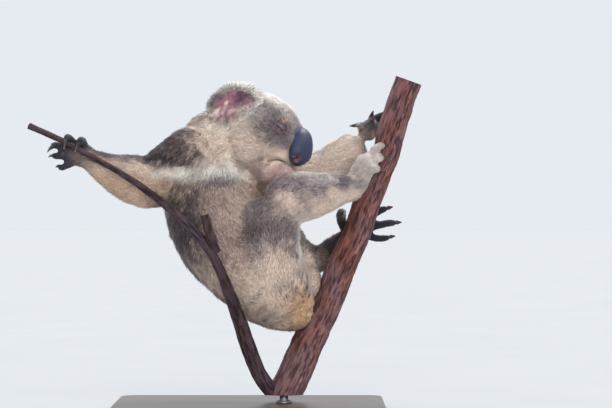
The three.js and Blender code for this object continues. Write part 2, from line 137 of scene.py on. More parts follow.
def ear_frame(side):
    """Centre and turn of an ear in the row frame: its +X opens forwards, Y runs along its width, Z up its
    height."""
    centre = from_head(np.array(EAR_AT[side]))
    return centre, HEAD_TURN @ turn("z", side * EAR_TURN) @ turn("x", -side * (90 - EAR_TILT))


def unit(vectors):
    """Each vector over its own length."""
    return vectors / np.maximum(np.linalg.norm(vectors, axis=-1, keepdims=True), 1e-9)


def smooth(value, low, high):
    """0 below low, 1 above high, and 3t^2 - 2t^3 between."""
    t = np.clip((value - low) / (high - low), 0, 1)
    return t * t * (3 - 2 * t)


def ripple(points, size, seed, count=14):
    """Soft noise from about -1 to 1: a mean of sines whose wave vectors point all ways, about size
    across."""
    rng = np.random.default_rng(seed)
    waves = unit(rng.normal(size=(count, 3))) * rng.uniform(0.6, 1.6, (count, 1)) * 2 * np.pi / (size * 2)
    return np.sin(points @ waves.T + rng.uniform(0, 6.28, count)).sum(1) / np.sqrt(count / 2)


def gather(points, size, seed):
    """Vector from each point to the nearest seed of a cubic lattice, each seed shaken inside its cell."""
    cell = np.floor(points / size)
    best = np.full(len(points), 1e18)
    pull = np.zeros_like(points)
    for shift in np.ndindex(3, 3, 3):
        here = cell + np.array(shift) - 1
        mixed = here @ np.array((127.1, 311.7, 74.7)) + seed
        shake = np.stack([np.sin(mixed * k) * 43758.5453 % 1 for k in (1.0, 1.7, 2.3)], 1)
        step = (here + shake) * size - points
        far = (step ** 2).sum(1)
        near = far < best
        best = np.where(near, far, best)
        pull = np.where(near[:, None], step, pull)
    return pull


# ---- Surfaces ------------------------------------------------------------------------------------
def spline(stations, t):
    """The centripetal Catmull-Rom curve through the stations, at t from 0 to 1: each span is the cubic
    whose end slopes weigh the neighbouring chords by the square roots of their lengths."""
    p = np.asarray(stations, float)
    spans = len(p) - 1
    p = np.vstack((2 * p[0] - p[1], p, 2 * p[-1] - p[-2]))
    at = np.clip(t, 0, 1) * spans
    i = np.minimum(at.astype(int), spans - 1)
    u = (at - i)[:, None]
    p0, p1, p2, p3 = p[i], p[i + 1], p[i + 2], p[i + 3]
    middle = np.sqrt(np.linalg.norm(p2 - p1, axis=1))[:, None]
    middle = np.where(middle < 1e-2, 1, middle)
    before = np.sqrt(np.linalg.norm(p1 - p0, axis=1))[:, None]
    before = np.where(before < 1e-2, middle, before)
    after = np.sqrt(np.linalg.norm(p3 - p2, axis=1))[:, None]
    after = np.where(after < 1e-2, middle, after)
    slope_in = ((p1 - p0) / before - (p2 - p0) / (before + middle) + (p2 - p1) / middle) * middle
    slope_out = ((p2 - p1) / middle - (p3 - p1) / (middle + after) + (p3 - p2) / after) * middle
    cubic = 2 * p1 - 2 * p2 + slope_in + slope_out
    square = -3 * p1 + 3 * p2 - 2 * slope_in - slope_out
    return ((cubic * u + square) * u + slope_in) * u + p1


def tube_faces(rings, sides):
    """Faces over rings of equal length followed by a pole point for the first ring and one for the
    last: a quad between neighbours of neighbouring rings, and a fan of triangles round each pole."""
    ring, k = np.meshgrid(np.arange(rings - 1), np.arange(sides), indexing="ij")
    a = (ring * sides + k).ravel()
    b = (ring * sides + (k + 1) % sides).ravel()
    quads = np.stack((a, a + sides, b + sides, b), 1)
    rim = np.arange(sides)
    onward = (rim + 1) % sides
    top = (rings - 1) * sides
    pole = rings * sides
    fans = np.vstack((np.stack((rim, onward, np.full(sides, pole)), 1),
                      np.stack((top + onward, top + rim, np.full(sides, pole + 1)), 1)))
    return quads, fans


def tube(rings, first, last):
    """Points and faces of a closed tube through an array of rings (count, sides, 3), with its two pole
    points."""
    count, sides, _ = rings.shape
    points = np.vstack((rings.reshape(-1, 3), first, last))
    return points, *tube_faces(count, sides)


def girdle(stations, t):
    """Centre, way along, two square axes and two half sizes of a limb at t: the second axis is +Y made
    square to the way along, and the first is square to both."""
    s = np.array([station if len(station) > 4 else (*station, station[3]) for station in stations], float)
    centre = spline(s[:, :3], t)
    along = unit(spline(s[:, :3], t + 1e-3) - spline(s[:, :3], t - 1e-3))
    side = unit(np.array((0, 1, 0)) - along * along[:, 1:2])
    size = spline(np.column_stack((s[:, 3:5], np.zeros(len(s)))), t)[:, :2]
    return centre, along, np.cross(along, side), side, size


def loft(stations, sides=36, count=40, first=0.2, last=0.2):
    """An ellipse carried along the smooth path of the stations. At t = (1 - cos u) / 2 its size is the
    stations' own, times a quarter circle over the first and the last share of the way."""
    t = (1 - np.cos(np.linspace(0, np.pi, count))) / 2
    centre, _, normal, side, size = girdle(stations, np.clip(t, 1e-3, 1 - 1e-3))
    near = np.sqrt(1 - (1 - np.clip(t / max(first, 1e-6), 0, 1)) ** 2)
    far = np.sqrt(1 - (1 - np.clip((1 - t) / max(last, 1e-6), 0, 1)) ** 2)
    share = np.maximum((near if first > 0 else 1) * (far if last > 0 else 1), 0.02)
    size = size * share[:, None]
    angle = np.linspace(0, 2 * np.pi, sides, endpoint=False)
    rings = (centre[:, None] + normal[:, None] * (np.cos(angle) * size[:, :1])[..., None]
             + side[:, None] * (np.sin(angle) * size[:, 1:])[..., None])
    return tube(rings, centre[0], centre[-1])


def ball(centre, size, sides=36, count=24):
    """An ellipsoid: rings at equal angles from pole to pole."""
    polar = np.linspace(0, np.pi, count + 2)[1:-1]
    angle = np.linspace(0, 2 * np.pi, sides, endpoint=False)
    rings = np.stack((np.cos(polar)[:, None] + 0 * angle, np.sin(polar)[:, None] * np.cos(angle),
                      np.sin(polar)[:, None] * np.sin(angle)), 2)
    size = np.array(size, float)
    middle = np.array(centre, float)
    pole = np.array((1, 0, 0)) * size
    return tube(rings * size + middle, middle + pole, middle - pole)


def outward(points, quads, tris):
    """The faces, all turned round if the solid they close has a volume below zero."""
    corners = [(quads[:, 0], quads[:, 1], quads[:, 2]), (quads[:, 0], quads[:, 2], quads[:, 3]),
               (tris[:, 0], tris[:, 1], tris[:, 2])]
    volume = sum(np.einsum("ij,ij->", points[a], np.cross(points[b], points[c])) for a, b, c in corners)
    return (quads[:, ::-1], tris[:, ::-1]) if volume < 0 else (quads, tris)


def piece(name, points, quads, tris):
    """A mesh object from whole arrays: points in millimetres, then quads and triangles by point number."""
    mesh = bpy.data.meshes.new(name)
    mesh.vertices.add(len(points))
    mesh.vertices.foreach_set("co", (np.asarray(points, float) * MM).astype(np.float32).ravel())
    loops = np.concatenate((quads.ravel(), tris.ravel())).astype(np.int32)
    starts = np.concatenate((np.arange(len(quads)) * 4, len(quads) * 4 + np.arange(len(tris)) * 3))
    mesh.loops.add(len(loops))
    mesh.loops.foreach_set("vertex_index", loops)
    mesh.polygons.add(len(starts))
    mesh.polygons.foreach_set("loop_start", starts.astype(np.int32))
    mesh.update(calc_edges=True)
    mesh.shade_smooth()
    made = bpy.data.objects.new(name, mesh)
    bpy.context.scene.collection.objects.link(made)
    return made


def merged(solids):
    """Several solids' points, quads and triangles as one set of arrays."""
    points, quads, tris, base = [], [], [], 0
    for p, q, t in solids:
        q, t = outward(p, q, t)
        points.append(p)
        quads.append(q + base)
        tris.append(t + base)
        base += len(p)
    return np.vstack(points), np.vstack(quads), np.vstack(tris)


def paint(made, name, values):
    """Stores one value or colour per point of a piece, for its material to read."""
    values = np.asarray(values, float)
    if values.ndim == 1:
        layer = made.data.attributes.new(name, "FLOAT", "POINT")
        layer.data.foreach_set("value", values.astype(np.float32))
    else:
        full = np.column_stack((values, np.ones(len(values))))
        layer = made.data.color_attributes.new(name, "FLOAT_COLOR", "POINT")
        layer.data.foreach_set("color", full.astype(np.float32).ravel())


def arrays(mesh):
    """Points in millimetres, point normals, and triangles of a mesh, as arrays."""
    points = np.empty(len(mesh.vertices) * 3, np.float32)
    mesh.vertices.foreach_get("co", points)
    normals = np.empty(len(mesh.vertices) * 3, np.float32)
    mesh.vertex_normals.foreach_get("vector", normals)
    mesh.calc_loop_triangles()
    tris = np.empty(len(mesh.loop_triangles) * 3, np.int32)
    mesh.loop_triangles.foreach_get("vertices", tris)
    points = points.reshape(-1, 3).astype(float) / MM
    return points, normals.reshape(-1, 3).astype(float), tris.reshape(-1, 3)


# ---- Finishes --------------------------------------------------------------------------------------
def tone(red, green, blue):
    """A colour given as on a screen, 0 to 255, turned into linear light."""
    c = np.array((red, green, blue)) / 255
    return np.where(c <= 0.04045, c / 12.92, ((c + 0.055) / 1.055) ** 2.4)


def finish(name, roughness, **shader):
    """A new material with one Principled shader; each extra word is a socket of it and that socket's
    number."""
    material = bpy.data.materials.new(name)
    material.use_nodes = True
    tree = material.node_tree
    principled = tree.nodes["Principled BSDF"]
    principled.inputs["Roughness"].default_value = roughness
    for socket, value in shader.items():
        principled.inputs[socket.replace("_", " ")].default_value = value
    return material, tree, principled


def put(tree, kind, settings=None, **inputs):
    """Adds a shader node. An input is a number, a colour or another node's output; A, B... name sockets
    by order."""
    made = tree.nodes.new("ShaderNode" + kind)
    for key, value in (settings or {}).items():
        setattr(made, key, value)
    for key, value in inputs.items():
        socket = made.inputs[int(key[1:])] if key[0] == "i" and key[1:].isdigit() else made.inputs[key]
        if isinstance(value, bpy.types.NodeSocket):
            tree.links.new(value, socket)
        else:
            socket.default_value = value
    return made


def blended(tree, share, first, second, way="MIX"):
    """A colour between two others by a share, or one laid on the other by a blend's name."""
    mix = put(tree, "Mix", {"data_type": "RGBA", "blend_type": way}, i0=share, i6=first, i7=second)
    return mix.outputs[2]


def ramp(tree, value, *stops):
    """A colour ramp with stops of (place, colour)."""
    made = put(tree, "ValToRGB", Fac=value)
    elements = made.color_ramp.elements
    while len(elements) < len(stops):
        elements.new(0.5)
    for element, (place, colour) in zip(elements, stops):
        element.position = place
        element.color = (*colour, 1)
    return made.outputs["Color"]


def grain(tree, scale, detail=4.0, stretch=(1, 1, 1), roughness=0.6):
    """Noise on object coordinates, stretched along an axis where its scale is smaller."""
    place = put(tree, "TexCoord").outputs["Object"]
    turned = put(tree, "Mapping", Vector=place, Scale=stretch).outputs["Vector"]
    made = put(tree, "TexNoise", Vector=turned, Scale=scale, Detail=detail, Roughness=roughness)
    return made.outputs["Fac"]


def bumped(tree, principled, height, distance, strength=1.0):
    """Ties a height to the shader's normal."""
    bump = put(tree, "Bump", Height=height, Distance=distance, Strength=strength)
    tree.links.new(bump.outputs["Normal"], principled.inputs["Normal"])


def fur_finish():
    """Coat: each tuft's own tone, with a fine salt-and-pepper change from lock to lock and a soft
    sheen. Its light falls mostly as on the skin below, so that the locks read as one soft pelt."""
    material, tree, principled = finish("koala_fur", 0.78, Sheen_Weight=0.35, Sheen_Roughness=0.45,
                                        Specular_IOR_Level=0.25)
    own = put(tree, "VertexColor", {"layer_name": "tone"}).outputs["Color"]
    speck = ramp(tree, grain(tree, 420, 3), (0.3, (0.8, 0.79, 0.78)), (0.62, (1.12, 1.11, 1.1)))
    tree.links.new(blended(tree, 1.0, own, speck, "MULTIPLY"), principled.inputs["Base Color"])
    grow = put(tree, "Attribute", {"attribute_name": "grow"}).outputs["Vector"]
    facing = put(tree, "NewGeometry").outputs["Normal"]
    leant = put(tree, "VectorMath", {"operation": "MULTIPLY_ADD"}, i0=grow, i1=(1.7, 1.7, 1.7), i2=facing)
    even = put(tree, "VectorMath", {"operation": "NORMALIZE"}, i0=leant.outputs[0])
    tree.links.new(even.outputs[0], principled.inputs["Normal"])
    return material


def skin_finish():
    """Skin: the coat's markings a little deeper, leathery and finely wrinkled where it is bare, downy
    elsewhere."""
    material, tree, principled = finish("koala_skin", 0.7, Sheen_Weight=0.2, Specular_IOR_Level=0.3)
    own = put(tree, "VertexColor", {"layer_name": "tone"}).outputs["Color"]
    bare = put(tree, "Attribute", {"attribute_name": "bare"}).outputs["Fac"]
    down = ramp(tree, grain(tree, 900, 3), (0.3, (0.7, 0.7, 0.7)), (0.65, (1.1, 1.1, 1.1)))
    tree.links.new(blended(tree, 0.8, own, down, "MULTIPLY"), principled.inputs["Base Color"])
    pebble = put(tree, "TexVoronoi", {"feature": "DISTANCE_TO_EDGE"}, Scale=520.0,
                 Vector=put(tree, "TexCoord").outputs["Object"]).outputs["Distance"]
    mixed = blended(tree, bare, grain(tree, 1300, 3), pebble)
    bumped(tree, principled, mixed, 0.0007, 0.8)
    return material


def leather_finish(name, colours, roughness, scale, distance, **shader):
    """Bare leathery skin: a pebbled Voronoi bump, with a colour that wanders between two tones."""
    material, tree, principled = finish(name, roughness, **shader)
    own = put(tree, "VertexColor", {"layer_name": "tone"}).outputs["Color"]
    wander = ramp(tree, grain(tree, scale * 0.12, 4), (0.35, colours[0]), (0.65, colours[1]))
    tree.links.new(blended(tree, 1.0, own, wander, "MULTIPLY"), principled.inputs["Base Color"])
    pebble = put(tree, "TexVoronoi", {"feature": "SMOOTH_F1"}, Scale=scale,
                 Vector=put(tree, "TexCoord").outputs["Object"]).outputs["Distance"]
    bumped(tree, principled, pebble, distance, 0.7)
    return material


def bark_finish(name, deep, mid, warm, pale, grey, scale):
    """Bark: fibres that run along the limb by its own UV, from dark furrows over warm strands to pale ones,
    with weathered grey patches, fine lines and rough all over. The relief's height then darkens the furrows
    as painted shade and lightens the ridges as painted highlight."""
    material, tree, principled = finish(name, 0.88, Specular_IOR_Level=0.25)
    along = put(tree, "UVMap", {"uv_map": "grain"}).outputs["UV"]
    stretched = put(tree, "Mapping", Vector=along, Scale=(scale * 1.5, scale * 0.11, 1)).outputs["Vector"]
    fibre = put(tree, "TexNoise", Vector=stretched, Scale=7.0, Detail=9.0, Roughness=0.74,
                Distortion=0.35).outputs["Fac"]
    patch = grain(tree, 17, 6, (1, 1, 0.3), 0.65)
    ridge = put(tree, "Attribute", {"attribute_name": "ridge"}).outputs["Fac"]
    strand = put(tree, "TexNoise", Vector=stretched, Scale=19.0, Detail=6.0, Roughness=0.7).outputs["Fac"]
    colour = ramp(tree, fibre, (0.38, deep), (0.5, mid), (0.58, warm), (0.68, pale))
    flaked = blended(tree, ramp(tree, patch, (0.47, (0, 0, 0)), (0.6, (0.6, 0.6, 0.6))), colour, (*grey, 1))
    lined = blended(tree, 0.8, flaked, ramp(tree, strand, (0.36, (0.45, 0.42, 0.43)), (0.5, (1, 1, 1)),
                                            (0.66, (1.4, 1.38, 1.38))), "MULTIPLY")
    # painted shade in the furrows and painted highlight on the ridges, by the relief's height
    shaded = blended(tree, 0.9, lined, ramp(tree, ridge, (0.1, (0.32, 0.29, 0.3)), (0.5, (0.95, 0.95, 0.95)),
                                            (0.85, (1.25, 1.22, 1.22))), "MULTIPLY")
    sawn = put(tree, "Attribute", {"attribute_name": "sawn"}).outputs["Fac"]
    ring = put(tree, "Attribute", {"attribute_name": "ring"}).outputs["Fac"]
    wave = put(tree, "Math", {"operation": "SINE"}, i0=put(tree, "Math", {"operation": "MULTIPLY"}, i0=ring,
                                                           i1=62.0).outputs[0]).outputs[0]
    wood = ramp(tree, wave, (0.1, tone(168, 128, 96)), (0.9, tone(206, 172, 134)))
    tree.links.new(blended(tree, sawn, shaded, wood), principled.inputs["Base Color"])
    bumped(tree, principled, blended(tree, 0.5, fibre, strand), 0.0022, 0.9)
    return material


def horn_finish():
    """Claws: dark horn, paler and smoother to the tip, with fine lines along it."""
    material, tree, principled = finish("claw_horn", 0.38, Specular_IOR_Level=0.5, Coat_Weight=0.15)
    tip = put(tree, "Attribute", {"attribute_name": "tip"}).outputs["Fac"]
    colour = ramp(tree, tip, (0.1, tone(34, 29, 31)), (0.75, tone(74, 62, 56)), (1.0, tone(120, 104, 88)))
    lines = ramp(tree, grain(tree, 700, 3), (0.35, (0.75, 0.75, 0.75)), (0.7, (1.1, 1.1, 1.1)))
    tree.links.new(blended(tree, 0.6, colour, lines, "MULTIPLY"), principled.inputs["Base Color"])
    bumped(tree, principled, grain(tree, 1100, 2), 0.0002, 0.5)
    return material


def eye_finish():
    """Eyeball: an upright slit pupil in a brown iris by the angle from the line of sight, dark rim, wet
    coat."""
    material, tree, principled = finish("eyeball", 0.12, Coat_Weight=1.0, Coat_Roughness=0.03)
    out = put(tree, "Attribute", {"attribute_name": "out"}).outputs["Fac"]
    slit = put(tree, "Attribute", {"attribute_name": "slit"}).outputs["Fac"]
    iris = ramp(tree, out, (0.0, tone(96, 62, 38)), (0.42, tone(58, 36, 24)), (0.52, tone(24, 18, 16)),
                (0.7, tone(122, 104, 98)))
    flecks = ramp(tree, grain(tree, 1500, 4), (0.3, (0.6, 0.6, 0.6)), (0.7, (1.2, 1.2, 1.2)))
    pupil = ramp(tree, slit, (0.45, (0, 0, 0)), (0.55, (1, 1, 1)))
    shown = blended(tree, 0.7, iris, flecks, "MULTIPLY")
    tree.links.new(blended(tree, pupil, (0.004, 0.004, 0.005, 1), shown), principled.inputs["Base Color"])
    return material


def base_finish():
    """Stand base: dark stained timber, its grain drawn out along X, under a satin varnish."""
    material, tree, principled = finish("stained_timber", 0.42, Coat_Weight=0.25, Coat_Roughness=0.3)
    figure = grain(tree, 34, 6, (0.12, 1, 1), 0.6)
    pores = grain(tree, 420, 3, (0.06, 1, 1), 0.6)
    colour = ramp(tree, figure, (0.32, tone(44, 34, 28)), (0.52, tone(66, 50, 40)), (0.72, tone(84, 65, 51)))
    fine = ramp(tree, pores, (0.36, (0.6, 0.6, 0.6)), (0.55, (1.05, 1.05, 1.05)))
    tree.links.new(blended(tree, 0.7, colour, fine, "MULTIPLY"), principled.inputs["Base Color"])
    bumped(tree, principled, pores, 0.0003, 0.5)
    return material


def rod_finish():
    """Rods: drawn steel, faintly brushed round."""
    material, tree, principled = finish("brushed_steel", 0.34, Metallic=1.0)
    brushed = grain(tree, 300, 3, (1, 1, 6), 0.5)
    colour = ramp(tree, brushed, (0.3, tone(120, 122, 125)), (0.7, tone(168, 170, 172)))
    tree.links.new(colour, principled.inputs["Base Color"])
    bumped(tree, principled, brushed, 0.0001, 0.4)
    return material


def wear(made, material, slot, *nodes):
    """Gives a piece its finish, hides the CAD nodes it stands for, and lets it ride on the part. The slot is
    not used.
    """
    made.data.materials.append(material)
    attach(made, "root")
    if nodes:
        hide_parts(*nodes)
    return made


# ---- Flesh: the forms under the coat, joined into one skin -----------------------------------------
def digit_stations(path, thick, thin):
    """A digit's path with a radius that falls evenly from its root to its tip."""
    radius = np.linspace(thick, thin, len(path))
    return [(*place, r, r) for place, r in zip(path, radius)]


def ear_solid(side):
    """An ear: a thick oval dish. Its profile, from the back pole over the rim into the hollow, is
    turned round the thickness axis and stretched to the ear's width and height."""
    profile = spline([(-0.95, 0.02, 0), (-0.9, 0.4, 0), (-0.66, 0.74, 0), (-0.12, 0.96, 0), (0.34, 0.93, 0),
                      (0.42, 0.8, 0), (0.16, 0.62, 0), (-0.1, 0.36, 0), (-0.16, 0.02, 0)],
                     np.linspace(0, 1, 40))
    angle = np.linspace(0, 2 * np.pi, 56, endpoint=False)
    rings = np.stack((profile[:, :1] * EAR_SIZE[0] + 0 * angle,
                      profile[:, 1:2] * EAR_SIZE[1] * np.cos(angle),
                      profile[:, 1:2] * EAR_SIZE[2] * np.sin(angle)), 2)
    hollow = (np.arange(40) > 24)[:, None] * np.exp(-((profile[:, 1:2] - 0.42) / 0.22) ** 2)
    for place, rise in ((0.6, 3.2), (2.3, 2.6), (4.2, 2.4)):
        bend = (angle[None] - place - 1.4 * profile[:, 1:2] + np.pi) % (2 * np.pi) - np.pi
        rings[:, :, 0] += rise * hollow * np.exp(-(bend / 0.32) ** 2)
    centre, way = ear_frame(side)
    points, quads, tris = tube(rings, rings[0].mean(0), rings[-1].mean(0))
    return points @ way.T + centre, quads, tris


def flesh():
    """Every form of the body at its full size, each a closed solid that runs into its neighbours."""
    head = [loft(SKULL, 48, 48, 0.2, 0.12), loft(CHIN, 32, 30, 0.3, 0.4),
            ball(CHEEK_AT, CHEEK_SIZE), ball(np.array(CHEEK_AT) * (1, -1, 1), CHEEK_SIZE)]
    solids = [(from_head(p), q, t) for p, q, t in head]
    solids += [ear_solid(-1), ear_solid(1)]
    solids += [loft(TORSO, 56, 60, 0.16, 0.14), loft(NECK, 44, 40, 0.3, 0.3)]
    solids += [loft(arm, 40, 60, 0.16, 0.1) for arm in (RIGHT_ARM, LEFT_ARM)]
    solids += [loft(thigh, 44, 50, 0.22, 0.22) for thigh in (RIGHT_THIGH, LEFT_THIGH)]
    solids += [loft(shin, 36, 44, 0.2, 0.1) for shin in (RIGHT_SHIN, LEFT_SHIN)]
    solids += [loft(palm, 28, 26, 0.25, 0.25) for palm in (RIGHT_PALM, LEFT_PALM, RIGHT_SOLE, LEFT_SOLE)]
    for digits in PAWS.values():
        solids += [loft(digit_stations(*digit[:3]), 18, 22, 0.15, 0.3) for digit in digits]
    return merged(solids)


# Each length of the body: stations, share of a head-to-tail lie along its path, and its coat at the two ends
# as (length, lift in degrees, spacing, width, depth to the skin). Lengths in millimetres.
LENGTHS = {
    "torso": (TORSO, -1, (11, 20, 1.6, 1.6, 4.4), (11.5, 22, 1.6, 1.6, 4.6)),
    "neck": (NECK, -1, (12, 25, 1.6, 1.6, 4.8), (11, 25, 1.6, 1.6, 4.8)),
    "arm_right": (RIGHT_ARM, 1, (10.5, 21, 1.6, 1.55, 4.4), (7, 22, 1.45, 1.3, 2.6)),
    "arm_left": (LEFT_ARM, 1, (10.5, 21, 1.65, 1.6, 4.4), (7, 22, 1.5, 1.3, 2.6)),
    "thigh_right": (RIGHT_THIGH, 1, (11, 20, 1.6, 1.6, 4.4), (9.5, 20, 1.55, 1.5, 4)),
    "thigh_left": (LEFT_THIGH, 1, (11, 20, 1.75, 1.7, 4.4), (9.5, 20, 1.7, 1.6, 4)),
    "shin_right": (RIGHT_SHIN, 1, (9, 20, 1.55, 1.5, 3.8), (6.5, 20, 1.4, 1.2, 2.4)),
    "shin_left": (LEFT_SHIN, 1, (9, 20, 1.65, 1.6, 3.8), (6.5, 20, 1.5, 1.3, 2.4)),
    "hand_right": (RIGHT_PALM, 1, (5, 20, 1.5, 1.3, 1.6), (3.5, 14, 1.5, 1.1, 1)),
    "hand_left": (LEFT_PALM, 1, (5, 20, 1.5, 1.3, 1.6), (3.5, 14, 1.5, 1.1, 1)),
    "foot_right": (RIGHT_SOLE, 1, (6, 20, 1.4, 1.4, 2), (4, 16, 1.4, 1.2, 1.2)),
    "foot_left": (LEFT_SOLE, 1, (6, 20, 1.5, 1.4, 2), (4, 16, 1.5, 1.2, 1.2)),
    "head": (SKULL, -1, (11, 28, 1.4, 1.4, 4.5), (4.5, 17, 1.15, 1.0, 1.8)),
}
EARS = {"ear_right": -1, "ear_left": 1}
PART_NAMES = list(LENGTHS) + list(EARS)


def by_digits(points, digits):
    """For every point, the gap to the nearest digit of a paw, that digit's way along, and how far the
    point lies towards +Y of its path as a share of its radius."""
    t = np.linspace(0.05, 0.95, 7)
    rows = [girdle(digit_stations(*digit[:3]), t) for digit in digits]
    centre, along, size = (np.concatenate([row[k] for row in rows]) for k in (0, 1, 4))
    step = points[:, None] - centre[None]
    gap = np.linalg.norm(step, axis=2) - size[:, 0]
    pick = gap.argmin(1)
    own = np.arange(len(points))
    return np.maximum(gap[own, pick], 0), along[pick], step[own, pick, 1] / size[pick, 0]


def nearness(points):
    """For every point, each part's weight, its way along, the point's place across its two axes as
    shares of its half sizes, and its coat. A weight is exp(-d / 7 mm) of the gap d to the part's
    surface, over the sum of all."""
    count = len(points)
    gaps = np.full((count, len(PART_NAMES)), 1e3)
    ways = np.zeros((count, len(PART_NAMES), 3))
    coats = np.zeros((count, len(PART_NAMES), 5))
    where = {}
    in_head = to_head(points)
    for n, name in enumerate(LENGTHS):
        stations, sign, first, last = LENGTHS[name]
        own = in_head if name == "head" else points
        t = np.linspace(0.02, 0.98, 26)
        centre, along, normal, side, size = girdle(stations, t)
        step = own[:, None] - centre[None]
        a = np.einsum("ijk,jk->ij", step, normal) / size[:, 0]
        b = np.einsum("ijk,jk->ij", step, side) / size[:, 1]
        c = np.einsum("ijk,jk->ij", step, along)
        mean = size.mean(1)
        gap = np.hypot((np.hypot(a, b) - 1) * mean, np.abs(c))
        gap = np.where(np.hypot(a, b) < 1, np.abs(c) * 0.6, gap)
        pick = gap.argmin(1)
        rows = np.arange(count)
        gaps[:, n] = gap[rows, pick]
        way = along[pick] * sign
        ways[:, n] = way @ HEAD_TURN.T if name == "head" else way
        share = t[pick][:, None]
        coats[:, n] = np.array(first) * (1 - share) + np.array(last) * share
        where[name] = (a[rows, pick], b[rows, pick], t[pick])
        if name in PAWS:
            reach, ahead, beside = by_digits(points, PAWS[name])
            closer = reach < gaps[:, n]
            gaps[:, n] = np.where(closer, reach, gaps[:, n])
            ways[:, n] = np.where(closer[:, None], ahead, ways[:, n])
            coats[:, n] = np.where(closer[:, None], np.array(last), coats[:, n])
            where[name] = (a[rows, pick], np.where(closer, beside, b[rows, pick]), t[pick])
    for n, (name, ear) in enumerate(EARS.items(), len(LENGTHS)):
        centre, way = ear_frame(ear)
        own = (points - centre) @ way
        radius = np.linalg.norm(own / np.array(EAR_SIZE), axis=1)
        rim = np.hypot(own[:, 1] / EAR_SIZE[1], own[:, 2] / EAR_SIZE[2])
        gaps[:, n] = np.maximum(radius - 1.0, 0) * 24
        out = own * (0.25, 1, 1) + (2, 0, 0)
        ways[:, n] = unit(out) @ way.T
        inner = smooth(own[:, 0], -7.5, -4.5) * (1 - smooth(rim, 0.58, 0.82))
        fringe = smooth(rim, 0.7, 0.9)
        plume = smooth(own[:, 1], 14, 34) * smooth(own[:, 2], -24, -6)
        coats[:, n, 0] = 7 + (3.5 + 5 * plume) * fringe * (0.2 if ear > 0 else 1) - 1.5 * inner
        coats[:, n, 1] = 28 + (16 + 14 * plume) * fringe - 10 * inner
        coats[:, n, 2] = 1.2 + 0.9 * inner - 0.2 * fringe
        coats[:, n, 3] = 1.25 - 0.35 * inner
        coats[:, n, 4] = 2.5 + 0.6 * fringe - 1.8 * inner
        where[name] = (own, rim, inner)
    cheek = np.minimum(*[np.linalg.norm((in_head - np.array(CHEEK_AT) * (1, s, 1)) / CHEEK_SIZE, axis=1)
                         for s in (1, -1)])
    column = PART_NAMES.index("head")
    gaps[:, column] = np.minimum(gaps[:, column], np.maximum(cheek - 1, 0) * 38)
    chin = in_head - (36, 0, -48)
    gaps[:, column] = np.minimum(gaps[:, column],
                                 np.maximum(np.linalg.norm(chin / (48, 30, 26), axis=1) - 1, 0) * 24)
    face = smooth(in_head[:, 0], 22, 62)
    mouth = smooth(in_head[:, 0], 10, 40) * smooth(-in_head[:, 2], 26, 40)
    coats[:, column] = (np.array((9.5, 22, 1.42, 1.4, 4)) * (1 - face)[:, None]
                        + np.array((4.2, 17, 1.12, 1.0, 1.8)) * face[:, None])
    coats[:, column, 0] *= 1 - 0.55 * mouth
    floor = gaps.min(1, keepdims=True)
    weights = np.exp(-(gaps - floor) / 7)
    weights /= weights.sum(1, keepdims=True)
    return weights, ways, coats, where


def lie(points, normals, near):
    """The way the coat lies: the parts' own ways by weight, a little downwards, laid flat on the skin."""
    weights, ways, _, _ = near
    way = np.einsum("ij,ijk->ik", weights, ways) + np.array((0, 0, -0.22))
    in_head = to_head(points)
    head = weights[:, PART_NAMES.index("head")][:, None]
    away = in_head - np.array((86, 0, -6))
    way = way * (1 - head) + unit(away) @ HEAD_TURN.T * head
    way = way - normals * (way * normals).sum(1, keepdims=True)
    return unit(way)


# ---- Markings: one function of place for both skin and coat ---------------------------------------
ASH, DUSK, INK = tone(134, 122, 125), tone(84, 72, 76), tone(44, 38, 50)
CREAM, IVORY, SAND = tone(234, 211, 194), tone(246, 240, 232), tone(224, 194, 170)
TAN, BEIGE, SILVER = tone(232, 186, 140), tone(198, 174, 162), tone(190, 182, 180)
BLUSH = tone(246, 226, 212)
MAUVE, LIP, PAW = tone(110, 84, 95), tone(176, 126, 130), tone(36, 35, 50)

# A part's outer and inner tone, the way the outer side faces, and where and how softly the two meet.
TONES = {
    "torso": (ASH, BEIGE, (-1, 0.15, 0.1), 0.15, 0.35),
    "neck": (ASH, CREAM, (-0.6, 0.5, 0.5), 0.1, 0.4),
    "arm_right": (ASH, SAND, (0.1, 0.1, 1), 0.3, 0.25),
    "arm_left": (ASH, CREAM, (-0.1, 1, 0.4), 0.55, 0.3),
    "thigh_right": (ASH, CREAM, (0.2, -1, 0.35), 0.0, 0.5),
    "thigh_left": (ASH, CREAM, (0.2, 1, 0.35), 0.0, 0.5),
    "shin_right": (ASH, CREAM, (0.05, -0.1, 1), 0.05, 0.3),
    "shin_left": (DUSK, CREAM, (0.1, 0.3, 1), -0.35, 0.4),
    "hand_right": (PAW * 1.3, PAW, (0, 1, 0), 0.6, 0.2),
    "hand_left": (PAW, PAW * 0.8, (0, 1, 0), 0.6, 0.2),
    "foot_right": (SILVER * 0.8 + CREAM * 0.2, PAW, (0, -1, 0), -0.5, 0.3),
    "foot_left": (DUSK * 0.6, PAW * 1.1, (0, 1, 0), 0.35, 0.25),
    "head": (ASH, CREAM, (0, 0, 1), -0.05, 0.3),
}

